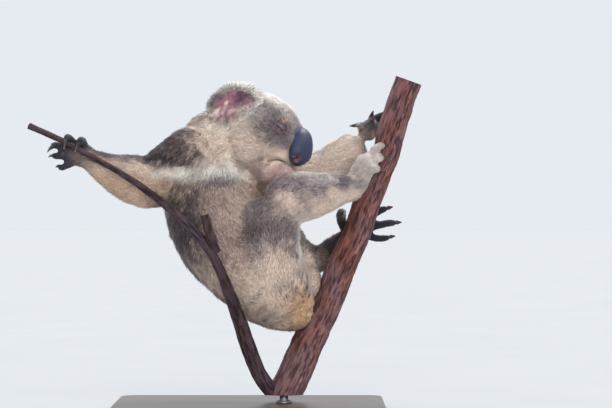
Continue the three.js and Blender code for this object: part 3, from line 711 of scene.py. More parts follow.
# Patches laid over in turn: centre, size, tone, strength. In the row frame.
BODY_PATCHES = [
    # Dark flank and back: partly the coat's own dark grey, partly painted shade of the flank and of the
    # stub's shadow on it.
    ((-100, -66, 300), (46, 60, 72), DUSK, 0.85),
    ((-110, -70, 350), (44, 50, 28), DUSK, 0.85),
    ((-30, -86, 300), (42, 60, 76), BEIGE, 0.9),
    ((-58, -60, 212), (40, 60, 42), CREAM, 0.85),
    ((-66, -50, 246), (26, 50, 22), BEIGE, 0.6),
    ((-108, -76, 425), (42, 52, 34), DUSK, 0.92),
    ((-84, -80, 412), (28, 32, 15), DUSK, 0.9),
    # Dark crease between the arm and the chest: painted shade.
    ((-146, -90, 403), (30, 40, 20), INK, 0.97),
    ((-112, -92, 401), (34, 30, 9), INK, 0.7),
    ((-48, -62, 432), (38, 50, 36), CREAM, 0.95),
    ((-66, -30, 458), (30, 40, 24), CREAM, 0.8),
    ((-66, -70, 438), (20, 40, 20), CREAM, 0.8),
    # White band over the chest: the chest's own pale fur, brightened by painted sky light on its upper face.
    ((-30, -60, 394), (50, 40, 17), IVORY * 0.94, 0.75),
    ((2, -12, 382), (30, 50, 20), CREAM, 0.95),
    # More of the white chest band: pale fur with painted sky light.
    ((-104, -88, 384), (66, 50, 11), IVORY, 0.85),
    ((-20, -58, 384), (50, 40, 11), IVORY, 0.85),
    ((-44, -72, 372), (38, 30, 10), ASH * 0.9, 0.85),
    ((-2, -80, 356), (22, 50, 28), CREAM * 0.86, 0.7),
    ((17, -96, 336), (17, 34, 28), DUSK * 1.3, 0.7),
    ((30, -96, 356), (22, 34, 20), DUSK * 1.7, 0.85),
    ((52, -98, 340), (20, 26, 16), CREAM, 0.85),
    ((86, -76, 366), (38, 40, 12), ASH * 1.2, 0.8),
    ((114, -60, 372), (24, 40, 12), SILVER, 0.6),
    ((14, -104, 300), (36, 44, 34), ASH * 0.85, 0.85),
    ((2, -100, 284), (22, 40, 24), DUSK * 1.2, 0.7),
    ((56, -100, 280), (30, 40, 20), ASH, 0.7),
    ((44, -96, 226), (50, 56, 36), CREAM, 0.95),
    ((10, -76, 200), (52, 60, 30), CREAM, 0.9),
    ((30, -70, 168), (60, 70, 30), CREAM, 0.9),
    ((84, -44, 168), (34, 60, 32), TAN * 1.35, 0.85),
    ((104, 10, 214), (22, 34, 18), CREAM, 0.9),
    # Bright rim down the thigh's edge: painted highlight of the light from behind.
    ((84, -80, 268), (10, 40, 50), IVORY, 0.7),
    ((126, 74, 270), (34, 40, 34), DUSK * 0.55, 0.8),
    ((-190, -86, 392), (56, 40, 12), CREAM, 0.8),
    ((-186, -80, 362), (66, 60, 20), SAND, 0.9),
    ((-192, -70, 416), (56, 60, 8), DUSK * 1.3, 0.7),
    ((120, 60, 396), (74, 60, 54), BLUSH, 0.92),
    # Thin bright line along the top of the far arm: painted highlight of the light from behind.
    ((102, 66, 414), (15, 30, 7), IVORY, 0.8),
    # Thin bright line along the top of the knee and shin: painted highlight.
    ((84, -66, 384), (60, 50, 7), IVORY, 0.5),
    ((104, -30, 340), (70, 60, 14), CREAM, 0.5),
]
# In the head frame: one on each side, the right first, where the centre is off the middle.
FACE_PATCHES = [
    # Bright crown: painted highlight of the light from behind.
    ((6, 0, 62), (48, 60, 20), IVORY, 0.85),
    ((8, -52, 36), (20, 22, 16), ASH * 0.85, 0.9),
    ((-4, -64, -6), (22, 24, 20), BEIGE, 0.5),
    ((17, -62, -30), (18, 26, 18), BEIGE * 0.6, 0.65),
    ((47, -38, 0), (30, 26, 26), ASH * 0.64, 0.97),
    ((60, 0, 12), (20, 30, 20), ASH * 0.8, 0.9),
    ((46, -38, 13), (17, 14, 11), MAUVE, 0.85),
    ((47, -27, 30), (8, 8, 7), TAN * 0.7, 0.45),
    ((52, -28, -25), (24, 16, 8), CREAM, 0.9),
    ((16, -54, -34), (30, 28, 24), CREAM, 0.8),
]
HEAD_PATCHES = [((x, y * side, z), *rest) for (x, y, z), *rest in FACE_PATCHES
                for side in ((1, -1) if y else (1,))]
# Under the chin, on the right side alone.
HEAD_PATCHES += [
    ((10, -18, -58), (34, 38, 22), CREAM * 0.94, 0.95),
    # Dusky patch under the chin: painted shade.
    ((26, -22, -58), (14, 24, 18), MAUVE * 1.5, 0.55),
]


def laid(colour, points, patches):
    """Each patch blends its tone in by its strength times exp(-(distance over size)^3.2), in turn; soft
    noise makes every edge wander."""
    wander = 1 + 0.14 * ripple(points, 15, 31) + 0.1 * ripple(points, 6, 32)
    for centre, size, over, strength in patches:
        far = np.linalg.norm((points - np.array(centre)) / np.array(size), axis=1) * wander
        share = (strength * np.exp(-far ** 3.2))[:, None]
        colour = colour * (1 - share) + over * share
    return colour


def markings(points, near):
    """Colour of skin and coat: each part's outer tone where it faces out and inner tone where it faces in,
    by weight; then the patches, some of them painted light and shade; then a bare pink hollow with a painted
    shade pit and a white fringe on each ear, the pink lip, painted shade in the creases of the mouth and
    eyes, and soft mottling."""
    weights, _, _, where = near
    colour = np.zeros((len(points), 3))
    for n, name in enumerate(LENGTHS):
        outer, inner, facing, edge, soft = TONES[name]
        stations = LENGTHS[name][0]
        across, beside, t = where[name]
        _, _, normal, side, _ = girdle(stations, t)
        face = unit(np.array(facing, float))
        turned = (across * (normal @ face) + beside * (side @ face))
        share = smooth(turned + 0.18 * ripple(points, 26, 3), edge - soft, edge + soft)[:, None]
        own = outer * share + inner * (1 - share)
        colour += own * weights[:, n:n + 1]
    in_head = to_head(points)
    head = weights[:, PART_NAMES.index("head")][:, None]
    body = laid(colour, points, BODY_PATCHES)
    colour = body * (1 - head) + laid(colour, in_head, HEAD_PATCHES) * head
    for n, name in enumerate(EARS, len(LENGTHS)):
        own, rim, inner = where[name]
        folds = smooth(ripple(points, 10, 8), -0.3, 0.7)[:, None]
        hollow = tone(150, 98, 114) * (1 - folds) + tone(92, 56, 76) * folds
        middle = np.exp(-((own[:, 1] + 6) / 7) ** 2)[:, None]
        hollow = hollow * (1 - 0.7 * middle) + tone(168, 122, 132) * 0.7 * middle
        # Dark pit in the ear's hollow: painted shade of its opening.
        pit = np.exp(-((own[:, 1] - 14) / 9) ** 2 - ((own[:, 2] - 3) / 5) ** 2)[:, None]
        hollow = hollow * (1 - pit) + tone(72, 40, 58) * pit
        low = (smooth(-own[:, 2], 4, 12) * smooth(own[:, 1], -8, 8))[:, None]
        hollow = hollow * (1 - 0.85 * low) + CREAM * 0.85 * low
        tail = smooth(-own[:, 1], 6, 24)
        edge = smooth(rim - 0.09 * tail, 0.66, 0.86)[:, None]
        dusky = smooth(own[:, 0], -7, -3)[:, None]
        back = (SILVER * (1 - dusky) + ASH * 0.85 * dusky) * (1 - edge) + IVORY * edge
        ear = back * (1 - inner[:, None]) + hollow * inner[:, None]
        colour += ear * weights[:, n:n + 1]
    lip = 0.95 * lip_share(in_head)[:, None] * head
    colour = colour * (1 - lip) + LIP * lip
    # Dark lines in the mouth's crease and the folds round the eyes: painted shade.
    lines = np.maximum(np.exp(-(mouth_gap(in_head) / 2.0) ** 4), 0.75 * eye_lines(in_head))[:, None] * head
    colour = colour * (1 - lines) + tone(64, 44, 50) * lines
    fleck = smooth(ripple(points, 3.2, 61, 24), 0.2, 1.3) * (1 - smooth(colour.mean(1), 0.3, 0.6))
    mottle = 1 + 0.07 * ripple(points, 16, 5) + 0.05 * ripple(points, 5, 6) - 0.34 * fleck
    return np.clip(colour * mottle[:, None], 0.005, 0.95)


def bareness(points, near):
    """1 where the skin shows bare: palms, soles, digit tips, lips and the hollow of the ears; 0 in the
    coat."""
    weights, _, _, where = near
    in_head = to_head(points)
    palms = sum(weights[:, PART_NAMES.index(n)] * smooth(-where[n][1], -0.55, -0.1)
                for n in ("hand_right", "hand_left", "foot_left"))
    sole = weights[:, PART_NAMES.index("foot_right")] * smooth(where["foot_right"][1], 0.1, 0.5)
    lips = np.maximum(lip_share(in_head), np.exp(-(mouth_gap(in_head) / 3.2) ** 4))
    eyes = np.exp(-(eye_gap(in_head) / 10.5) ** 6)
    ears = sum(weights[:, PART_NAMES.index(name)] * where[name][2] for name in EARS)
    return np.clip(np.maximum.reduce([palms, sole, lips, eyes, ears * 0.7]), 0, 1)


def eye_gap(in_head):
    """How far each point of the head frame is from the front of the nearer eyeball."""
    gaps = []
    for side in (-1, 1):
        centre, out, slit, up = eye_frame(side)
        step = in_head - centre - out * 9
        gaps.append(np.linalg.norm(np.stack((step @ slit / 1.35, step @ up, step @ out / 1.2), 1), axis=1))
    return np.minimum(*gaps)


# ---- Skin ------------------------------------------------------------------------------------------
def eye_frame(side):
    """An eye's centre, way out, way along the slit towards the ear, and way up, all in the head frame."""
    out = unit(np.array((0.5, 0.84 * side, 0.16)))
    slit = np.array((-23, 14 * side, 15.0))
    slit = unit(slit - out * (slit @ out))
    up = np.cross(out, slit) * side
    return np.array(EYE_AT, float) * (1, side, 1) - out * 2.6, out, slit, up


EYE_RADIUS = 8.6
LID_RADIUS = 10.3
SOFT_FORMS = ("torso", "neck", "thigh", "shin", "arm")


def eye_lines(in_head):
    """Round each eye, how strongly a point lies in a crease: the slit drawn on past both corners, a
    curved fold under the lower lid and one over the upper. Each is a bell curve across its line."""
    total = np.zeros(len(in_head))
    for side in (-1, 1):
        centre, out, slit, up = eye_frame(side)
        step = in_head - centre
        along, above, front = np.abs(step @ slit), step @ up, smooth(step @ out, 0, 4)
        ends = smooth(along, 7, 9.5) * (1 - smooth(along, 14, 19))
        short = 1 - smooth(along, 10, 17)
        total += front * (ends * np.exp(-((above - 0.06 * (along - 8)) / 1.2) ** 2)
                          + 0.7 * short * np.exp(-((above + 8.2 - 0.02 * along ** 2) / 1.2) ** 2)
                          + 0.6 * short * np.exp(-((above - 9.0 + 0.02 * along ** 2) / 1.3) ** 2))
    return np.clip(total, 0, 1)


def lip_share(in_head):
    """1 on the bare lower lip and chin, 0 beyond: a rounded block under the mouth's crease."""
    block = np.exp(-np.linalg.norm((in_head - (62, 0, -54)) / (27, 34, 20), axis=1) ** 6)
    return block * smooth(-in_head[:, 2], 33, 36.5)


def mouth_gap(in_head):
    """How far each point of the head frame is from the mouth's crease on its own side, its depth
    counted less."""
    crease = mouth_line(np.linspace(0, 1, 60))
    folded = in_head * (1, 0, 1) + np.abs(in_head) * (0, 1, 0)
    gap = np.full(len(in_head), 99.0)
    low = np.flatnonzero((in_head[:, 0] > 15) & (in_head[:, 2] < -15))
    gap[low] = np.linalg.norm((folded[low][:, None] - crease[None]) * (1, 0.14, 1), axis=2).min(1)
    return gap


def mouth_line(s):
    """The mouth's crease in the head frame: from under the nose, s = 0, back along the lip to its
    corner, s = 1."""
    return spline([(80, 0, -39), (72, 8, -36), (61, 14, -33), (50, 20, -32), (40, 25, -35), (33, 26, -38)],
                  s)


def shaped_face(points, normals):
    """Moves skin points of the head in its own frame: out or in to a socket round each eye, into the
    mouth's crease by a bell curve of the distance from it, and into folds under the eye that are sines
    of that distance."""
    own = to_head(points)
    way = normals @ HEAD_TURN
    near = mouth_gap(own)
    push = (1.4 * np.exp(-((near - 5) / 3.5) ** 2) * smooth(own[:, 0], 30, 45)
            - 3.6 * np.exp(-(near / 1.9) ** 2))
    push *= smooth(-own[:, 0], -72, -64)
    push -= 1.5 * eye_lines(own)
    own = own + way * push[:, None]
    for side in (-1, 1):
        centre, out, _, _ = eye_frame(side)
        step = own - centre
        far = np.linalg.norm(step, axis=1)
        tilt = np.degrees(np.arccos(np.clip(step @ out / np.maximum(far, 1e-6), -1, 1)))
        front = smooth(-tilt, -88, -60)
        target = LID_RADIUS - 2.6 + 2.6 * smooth(tilt, 38, 56)
        folds = 0.45 * np.sin(tilt / 6.5) * smooth(tilt, 46, 56)
        held = (front * (far < 24))[:, None] * smooth(-far, -24, -14)[:, None]
        placed = centre + step / far[:, None] * (target + folds)[:, None]
        own = own * (1 - held) + placed * held
    return from_head(own)


def relaxed(points, edges, share, rounds):
    """Each round moves every point towards the mean of its neighbours by half its share."""
    total = len(points)
    first, second = edges.T
    count = np.bincount(edges.ravel(), minlength=total)[:, None]
    for _ in range(rounds):
        near = np.stack([np.bincount(first, points[second, k], total)
                         + np.bincount(second, points[first, k], total) for k in range(3)], 1)
        points = points + 0.5 * share[:, None] * (near / count - points)
    return points


def make_skin():
    """One closed skin: all the flesh remeshed into one surface, relaxed where forms meet, sunk by the
    coat's depth, made finer over the face, and shaped there."""
    rough = piece("flesh", *flesh())
    remesh = rough.modifiers.new("one_surface", "REMESH")
    remesh.mode = "VOXEL"
    remesh.voxel_size = 0.0028
    relax = rough.modifiers.new("relaxed", "SMOOTH")
    relax.factor = 0.5
    relax.iterations = 4
    graph = bpy.context.evaluated_depsgraph_get()
    mesh = bpy.data.meshes.new_from_object(rough.evaluated_get(graph))
    bpy.data.objects.remove(rough)
    points, normals, _ = arrays(mesh)
    near = nearness(points)
    depth = np.einsum("ij,ij->i", near[0], near[2][:, :, 4])
    edges = np.empty(len(mesh.edges) * 2, np.int32)
    mesh.edges.foreach_get("vertices", edges)
    soft = near[0][:, [PART_NAMES.index(n) for n in LENGTHS if n.split("_")[0] in SOFT_FORMS]].sum(1)
    knee = np.exp(-np.linalg.norm((points - (52, -96, 330)) / (46, 44, 34), axis=1) ** 2)
    points = relaxed(points, edges.reshape(-1, 2), soft * (0.3 + 0.7 * knee), 60)
    sunk = points - normals * depth[:, None]
    mesh.vertices.foreach_set("co", (sunk * MM).astype(np.float32).ravel())
    mesh.update()
    skin = bpy.data.objects.new("skin", mesh)
    mesh.name = "skin"
    bpy.context.scene.collection.objects.link(skin)
    refine_face(skin)
    points, normals, _ = arrays(mesh)
    mesh.vertices.foreach_set("co", (shaped_face(points, normals) * MM).astype(np.float32).ravel())
    mesh.update()
    mesh.shade_smooth()
    return skin


def refine_face(skin):
    """Splits every skin edge over the face in two, and those near the eyes and mouth again."""
    for eye_reach, mouth_reach in ((17, 12), (14, 6)):
        points, _, _ = arrays(skin.data)
        own = to_head(points)
        eyes = np.minimum(*[np.linalg.norm(own - eye_frame(s)[0], axis=1) for s in (-1, 1)])
        crease = mouth_line(np.linspace(0, 1, 30))
        folded = own * (1, 0, 1) + np.abs(own) * (0, 1, 0)
        mouth = np.linalg.norm(folded[:, None] - crease[None], axis=2).min(1)
        close = (eyes < eye_reach) | (mouth < mouth_reach)
        edges = np.empty(len(skin.data.edges) * 2, np.int32)
        skin.data.edges.foreach_get("vertices", edges)
        picked = close[edges.reshape(-1, 2)].all(1)
        work = bmesh.new()
        work.from_mesh(skin.data)
        work.edges.ensure_lookup_table()
        chosen = [work.edges[i] for i in np.flatnonzero(picked)]
        bmesh.ops.subdivide_edges(work, edges=chosen, cuts=1, use_grid_fill=True, smooth=0.6)
        work.to_mesh(skin.data)
        work.free()


# ---- Coat ------------------------------------------------------------------------------------------
def unwrap(skin):
    """A UV map of the skin's own shape, cut into charts by how it faces, for each tuft to take its
    root's place."""
    bpy.context.view_layer.objects.active = skin
    skin.select_set(True)
    bpy.ops.object.mode_set(mode="EDIT")
    bpy.ops.mesh.select_all(action="SELECT")
    bpy.ops.uv.smart_project(angle_limit=1.15, island_margin=0.004)
    bpy.ops.object.mode_set(mode="OBJECT")
    skin.select_set(False)


def roots(skin, rng):
    """Seeds over the skin: on each triangle as many as its area asks for at the coat's spacing there,
    at places picked by two random shares. Gives the roots' points, normals and UVs."""
    mesh = skin.data
    points, normals, tris = arrays(mesh)
    corner = np.empty(len(tris) * 3, np.int32)
    mesh.loop_triangles.foreach_get("loops", corner)
    uv = np.empty(len(mesh.loops) * 2, np.float32)
    mesh.uv_layers[0].uv.foreach_get("vector", uv)
    uv = uv.reshape(-1, 2)[corner].reshape(-1, 3, 2)
    a, b, c = points[tris[:, 0]], points[tris[:, 1]], points[tris[:, 2]]
    area = np.linalg.norm(np.cross(b - a, c - a), axis=1) / 2
    middle = (a + b + c) / 3
    near = nearness(middle)
    spacing = np.einsum("ij,ij->i", near[0], near[2][:, :, 2])
    want = TUFT_SHARE * area / spacing ** 2 * (1 - bareness(middle, near))
    total = np.concatenate(((0,), np.cumsum(want)))
    marks = np.arange(int(total[-1])) + rng.random(int(total[-1]))
    pick = np.clip(np.searchsorted(total, marks) - 1, 0, len(tris) - 1)
    r, s = rng.random((2, len(pick)))
    flip = r + s > 1
    r, s = np.where(flip, 1 - r, r)[:, None], np.where(flip, 1 - s, s)[:, None]
    at = a[pick] * (1 - r - s) + b[pick] * r + c[pick] * s
    first, second, third = (normals[tris[pick, k]] for k in range(3))
    normal = unit(first * (1 - r - s) + second * r + third * s)
    place = uv[pick, 0] * (1 - r - s) + uv[pick, 1] * r + uv[pick, 2] * s
    return at, normal, place


def tufts(at, normal, place, rng):
    """All the locks: for each, a three-sided root, a three-sided middle and a tip, ten triangles in
    all. The middle leaves the skin at the lift angle plus 12 degrees and the tip bends down to the lift
    less 16; both lean by soft noise and towards the seed point where neighbouring locks gather."""
    near = nearness(at)
    weights, _, coats, _ = near
    length, lift, _, width, _ = np.einsum("ij,ijk->ki", weights, coats)
    flow = lie(at, normal, near)
    shake = np.stack([ripple(at, 20, seed) for seed in (11, 12, 13)], 1) * 0.22
    flow = flow + shake + rng.normal(0, 0.13, at.shape)
    flow = unit(flow - normal * (flow * normal).sum(1, keepdims=True))
    side = np.cross(normal, flow)
    length = length * rng.uniform(0.72, 1.22, len(at)) * (1 + 0.12 * ripple(at, 24, 21))
    lift = np.radians(lift + rng.normal(0, 6, len(at)) + 6 * ripple(at, 14, 22))
    pull = gather(at + flow * 0.6 * length[:, None], 8.5, 5)
    pull = pull - normal * (pull * normal).sum(1, keepdims=True)
    reach = np.minimum(length / 14, 1.3)[:, None]
    first, second = lift + np.radians(12), lift - np.radians(16)
    half = (length / 2)[:, None]
    root = at - normal * 0.7
    lower = flow * np.cos(first)[:, None] + normal * np.sin(first)[:, None]
    upper = flow * np.cos(second)[:, None] + normal * np.sin(second)[:, None]
    middle = root + half * lower + pull * 0.1 * reach
    tip = middle + half * upper + pull * 0.2 * reach
    wide = (width * rng.uniform(0.75, 1.2, len(at)))[:, None]
    rings = []
    for centre, share in ((root, 0.9), (middle, 0.8)):
        rings += [centre - side * wide * 0.5 * share, centre + side * wide * 0.5 * share,
                  centre + normal * wide * 0.34 * share]
    points = np.stack((*rings, tip), 1)
    colour = markings(at, near)
    light = colour.mean(1)
    salt = 0.06 + 0.2 * (1 - smooth(light, 0.12, 0.5))
    own = colour * np.exp(salt * rng.normal(0, 1, len(at)))[:, None]
    # Along each lock: darker at the root as painted shade between the locks, a little lighter at the tip as
    # painted light.
    painted_shade_and_tip_light = np.array((0.8, 0.8, 0.84, 0.98, 0.98, 1.0, 1.08))
    tones = np.clip(own[:, None] * painted_shade_and_tip_light[None, :, None], 0.003, 0.97)
    across = np.array((0.1, 0.9, 0.5, 0.2, 0.8, 0.5, 0.5)) - 0.5
    upward = np.array((0.05, 0.05, 0.05, 0.5, 0.5, 0.5, 0.95)) - 0.5
    baked = place[:, None] + 0.003 * np.stack((across, upward), 1)[None]
    grow = np.repeat(unit(normal + rng.normal(0, 0.1, at.shape))[:, None], 7, axis=1)
    return points, tones, baked, grow, weights


TUFT_FACES = np.array([(0, 2, 1), (0, 1, 4), (0, 4, 3), (1, 2, 5), (1, 5, 4), (2, 0, 3), (2, 3, 5),
                       (3, 4, 6), (4, 5, 6), (5, 3, 6)])
REGIONS = {
    "coat_head": ("head",), "coat_ears": ("ear_right", "ear_left"), "coat_body": ("torso", "neck"),
    "coat_arm_right": ("arm_right", "hand_right"), "coat_arm_left": ("arm_left", "hand_left"),
    "coat_leg_right": ("thigh_right", "shin_right", "foot_right"),
    "coat_leg_left": ("thigh_left", "shin_left", "foot_left"),
}
COAT_LIMIT = 19500


def make_coat(skin, material):
    """The locks parted into pieces by the region that weighs most at their roots, no piece over the
    limit."""
    rng = np.random.default_rng(7)
    at, normal, place = roots(skin, rng)
    points, tones, baked, grow, weights = tufts(at, normal, place, rng)
    owner = weights.argmax(1)
    for region, names in REGIONS.items():
        mine = np.flatnonzero(np.isin(owner, [PART_NAMES.index(n) for n in names]))
        mine = mine[np.argsort(at[mine, 2])]
        parts = np.array_split(mine, max(1, -(-len(mine) // COAT_LIMIT)))
        for number, rows in enumerate(parts, 1):
            name = region if len(parts) == 1 else f"{region}_{number}"
            corners = (TUFT_FACES[None] + 7 * np.arange(len(rows))[:, None, None]).reshape(-1, 3)
            coat = piece(name, points[rows].reshape(-1, 3), np.empty((0, 4), int), corners)
            paint(coat, "tone", tones[rows].reshape(-1, 3))
            paint(coat, "grow", grow[rows].reshape(-1, 3))
            layer = coat.data.uv_layers.new(name="OFBake")
            flat = baked[rows].reshape(-1, 2)[corners.ravel()]
            layer.uv.foreach_set("vector", flat.astype(np.float32).ravel())
            wear(coat, material, "grey_fur")


# ---- Face ------------------------------------------------------------------------------------------
def make_eye(name, side, material):
    """An eyeball whose poles lie on the line of sight, with each point's angle from it, and its place
    across the upright slit of the pupil, kept for the finish."""
    centre, out, slit, up = eye_frame(side)
    points, quads, tris = ball((0, 0, 0), (EYE_RADIUS,) * 3, 40, 36)
    angle = np.arccos(np.clip(points[:, 0] / EYE_RADIUS, -1, 1)) / np.pi * 2
    across = np.abs(points[:, 1]) / 1.3 + (np.abs(points[:, 2]) / 5.0) ** 2
    across = np.where(points[:, 0] > 0, across, 2)
    placed = centre + points @ np.stack((out, slit, up))
    quads, tris = outward(placed - placed.mean(0), quads, tris)
    eye = piece(f"{name}_ball", from_head(placed), quads, tris)
    paint(eye, "out", angle)
    paint(eye, "slit", across * 0.5)
    return wear(eye, material, "eye", name)


def make_lid(name, side, upper, material):
    """One lid: a shell over the eyeball. Across, its profile runs from under the skin along the inside
    to the margin, round a rolled lip and back over the outside; along, it goes from corner to corner of
    the slit, where the margins of both lids meet."""
    centre, out, slit, up = eye_frame(side)
    along = np.linspace(-1, 1, 46)
    bow = np.cos(along * np.pi / 2) ** 0.8
    margin = (7.0 if upper else -2.5) * bow + (0.6 if upper else -0.6)
    sign = 1 if upper else -1
    steps = [(60, -0.9), (35, -0.9), (12, -0.9), (3, -0.85), (0.3, -0.35), (0.0, 0.25), (2.5, 0.85),
             (7, 0.95), (11, 0.5), (16, 0.35), (22, 0.75), (28, 0.8), (34, 0.3), (42, 0.1), (52, 0.2),
             (62, -0.4)]
    far, rise = np.array(steps, float).T
    tilt = np.radians(margin[:, None] + sign * far[None] * (0.35 + 0.65 * bow[:, None]))
    radius = LID_RADIUS - 0.55 + rise[None] * (0.35 + 0.65 * bow[:, None])
    turned = np.radians(along * 78)[:, None]
    rings = radius[..., None] * (np.cos(turned)[..., None] * (np.cos(tilt)[..., None] * out
                                                                 + np.sin(tilt)[..., None] * up)
                                 + np.sin(turned)[..., None] * slit) + centre
    points, quads, tris = tube(rings, rings[0].mean(0), rings[-1].mean(0))
    quads, tris = outward(points - points.mean(0), quads, tris)
    lid = piece(f"lid_{'upper' if upper else 'lower'}_{name}", from_head(points), quads, tris)
    lip = np.tile(np.exp(-((far - 1) / 4.0) ** 2), len(along))
    lip = np.concatenate((lip, (1, 1)))[:, None]
    furred = tone(88, 74, 82) if upper else tone(106, 82, 90)
    colour = furred * (1 - lip) + tone(40, 28, 34) * lip
    paint(lid, "tone", colour * (1 + 0.12 * ripple(points, 4, 9))[:, None])
    paint(lid, "bare", 0.6 * lip[:, 0] + 0.2)
    return wear(lid, material, "paw_skin")


def make_nose(material):
    """The nose pad: its stations carried down from the bridge, with a bell-shaped hollow for each
    nostril, a comma that runs out to the side, and a shallow groove down the middle below them."""
    points, quads, tris = loft(NOSE_PAD, 72, 84, 0.3, 0.3)
    quads, tris = outward(points, quads, tris)
    x, y, z = points.T
    front = smooth(x, 66, 74)
    side = np.abs(y)
    hole = np.exp(-(np.abs((side - 10.5 - 0.25 * (z + 22)) / 3.4)) ** 3 - np.abs((z + 22) / 5.6) ** 3)
    comma = np.exp(-((side - 15.5) / 3.2) ** 2 - ((z + 18 + 0.5 * (side - 12)) / 1.9) ** 2)
    groove = np.exp(-(y / 1.3) ** 2) * smooth(-z, 20, 27)
    dip = front * (6.0 * hole + 3.0 * comma + 1.0 * groove)
    shaped = points.copy()
    shaped[:, 0] -= dip
    shaped -= np.array((0.6, 0, 0))
    nose = piece("nose_leather", from_head(shaped), quads, tris)
    open_share = np.clip(front * (hole * 1.2 + comma * 0.7), 0, 1)[:, None]
    colour = tone(31, 40, 70) * (1 - open_share) + tone(124, 66, 76) * open_share
    # Darker deep in each nostril: painted shade of its hollow.
    deep = smooth(hole * front, 0.5, 0.9)[:, None] * smooth(z, -25, -20)[:, None]
    colour = colour * (1 - deep) + tone(26, 12, 18) * deep
    paint(nose, "tone", colour)
    return wear(nose, material, "nose", "nose_pad")


def make_claw(name, digit, hook, material):
    """A claw: the digit's last way on from its tip, bent towards the hook by the square of the way, as
    a round cone whose radius falls from just under the digit's to a point."""
    path, _, thin, length = digit
    tip, before = np.array(path[-1], float), np.array(path[-2], float)
    ahead, bend = unit(tip - before), unit(np.array(hook, float))
    share = np.linspace(0, 1, 7)
    spine = tip + ahead * (length * (share - 0.22))[:, None] + bend * (0.35 * length * share ** 2)[:, None]
    radius = thin * 0.5 * (1 - share) ** 0.7 + 0.25
    stations = [(*place, r, r) for place, r in zip(spine, radius)]
    points, quads, tris = loft(stations, 16, 24, 0, 0.04)
    claw = piece(f"{name}_horn", points, *outward(points - points.mean(0), quads, tris))
    paint(claw, "tip", np.clip(((points - tip) @ ahead) / length, 0, 1))
    return wear(claw, material, "claw", name)


# ---- Perch -----------------------------------------------------------------------------------------
def make_bark(name, stations, sides, count, ridge, material, nodes, sawn=(0, 0), seed=1):
    """A limb of the perch: its stations' tube, let in by furrows that run along it and wander, by knots
    and by peeling flakes; sawn ends are flat, with the wood's rings by distance from the middle."""
    t = np.linspace(0, 1, count)
    centre, along, normal, side, size = girdle(stations, np.clip(t, 1e-3, 1 - 1e-3))
    angle = np.linspace(0, 2 * np.pi, sides, endpoint=False)
    reach = np.concatenate(((0,), np.cumsum(np.linalg.norm(np.diff(centre, axis=0), axis=1))))
    rng = np.random.default_rng(seed)
    furrow = np.zeros((count, sides))
    for number in (5, 8, 13, 21, 34):
        drift = rng.uniform(0, 6.28) + 0.9 * np.sin(reach / rng.uniform(40, 90) + rng.uniform(0, 6.28))
        furrow += np.cos(number * angle[None] + drift[:, None] * number * 0.35) / number ** 0.45
    furrow = furrow / 1.6
    rings = (centre[:, None] + normal[:, None] * (np.cos(angle) * size[:, :1])[..., None]
             + side[:, None] * (np.sin(angle) * size[:, 1:])[..., None])
    rolled = np.stack(np.broadcast_arrays(np.cos(angle) * size[:, :1], np.sin(angle) * size[:, :1],
                                          reach[:, None]), 2).reshape(-1, 3)
    rough = ripple(rolled * (1, 1, 0.16), 3.4, seed + 3, 20).reshape(count, sides)
    flakes = smooth(ripple(rolled * (1, 1, 0.28), 11, seed + 7, 20).reshape(count, sides), -0.1, 0.3)
    fine = ripple(rolled * (1, 1, 0.2), 1.7, seed + 5, 24).reshape(count, sides)
    height = np.clip(0.5 + 0.16 * furrow + 0.24 * rough + 0.18 * fine + 0.16 * (flakes - 0.5), 0, 1)
    inward = unit(centre[:, None] - rings)
    rings = rings + inward * ((1 - height) * ridge)[..., None]
    under = np.maximum(FOOT_LEVEL - rings[:, :, 2:], 0)
    rings = rings + along[:, None] * under / along[:, None, 2:]
    caps, marks = [], []
    for end, flat in ((0, sawn[0]), (count - 1, sawn[1])):
        if flat:
            shares = np.linspace(0.97, 0.12, 9) if end else np.linspace(0.12, 0.97, 9)
            caps.append(centre[end] + (rings[end] - centre[end])[None] * shares[:, None, None])
            marks.append(shares)
        else:
            caps.append(np.empty((0, sides, 3)))
            marks.append(np.empty(0))
    whole = np.concatenate((caps[0], rings, caps[1]))
    poles = [centre[0].copy(), centre[-1].copy()]
    for pole, way in zip(poles, (along[0], along[-1])):
        pole += way * max(FOOT_LEVEL - pole[2], 0) / way[2]
    whole[:, :, 2] = np.maximum(whole[:, :, 2], FOOT_LEVEL)
    points, quads, tris = tube(whole, poles[0], poles[1])
    limb = piece(name, points, *outward(points - points.mean(0), quads, tris))
    low, high = len(marks[0]) * sides, len(marks[1]) * sides
    face = np.concatenate([np.repeat(m, sides) for m in (marks[0], np.zeros(count), marks[1])])
    paint(limb, "ring", np.concatenate((face, (0, 0))))
    paint(limb, "sawn", np.concatenate((np.ones(low), np.zeros(count * sides), np.ones(high), sawn)))
    paint(limb, "ridge", np.concatenate((np.full(low, 0.6), height.ravel(), np.full(high + 2, 0.6))))
    total = len(whole)
    length = np.interp(np.arange(total), len(marks[0]) + np.arange(count), reach)
    u = np.tile(np.cos(angle) * 3.0, total)
    v = np.repeat(length, sides) * 0.05
    w = np.concatenate((np.stack((u + np.tile(np.sin(angle), total) * 5.2, v), 1), ((0, 0), (0, 0))))
    layer = limb.data.uv_layers.new(name="grain")
    corners = np.empty(len(limb.data.loops), np.int32)
    limb.data.loops.foreach_get("vertex_index", corners)
    layer.uv.foreach_set("vector", w[corners].astype(np.float32).ravel())
    return wear(limb, material, "bark", *nodes)


# ---- Stand -----------------------------------------------------------------------------------------
ROD_X = 55


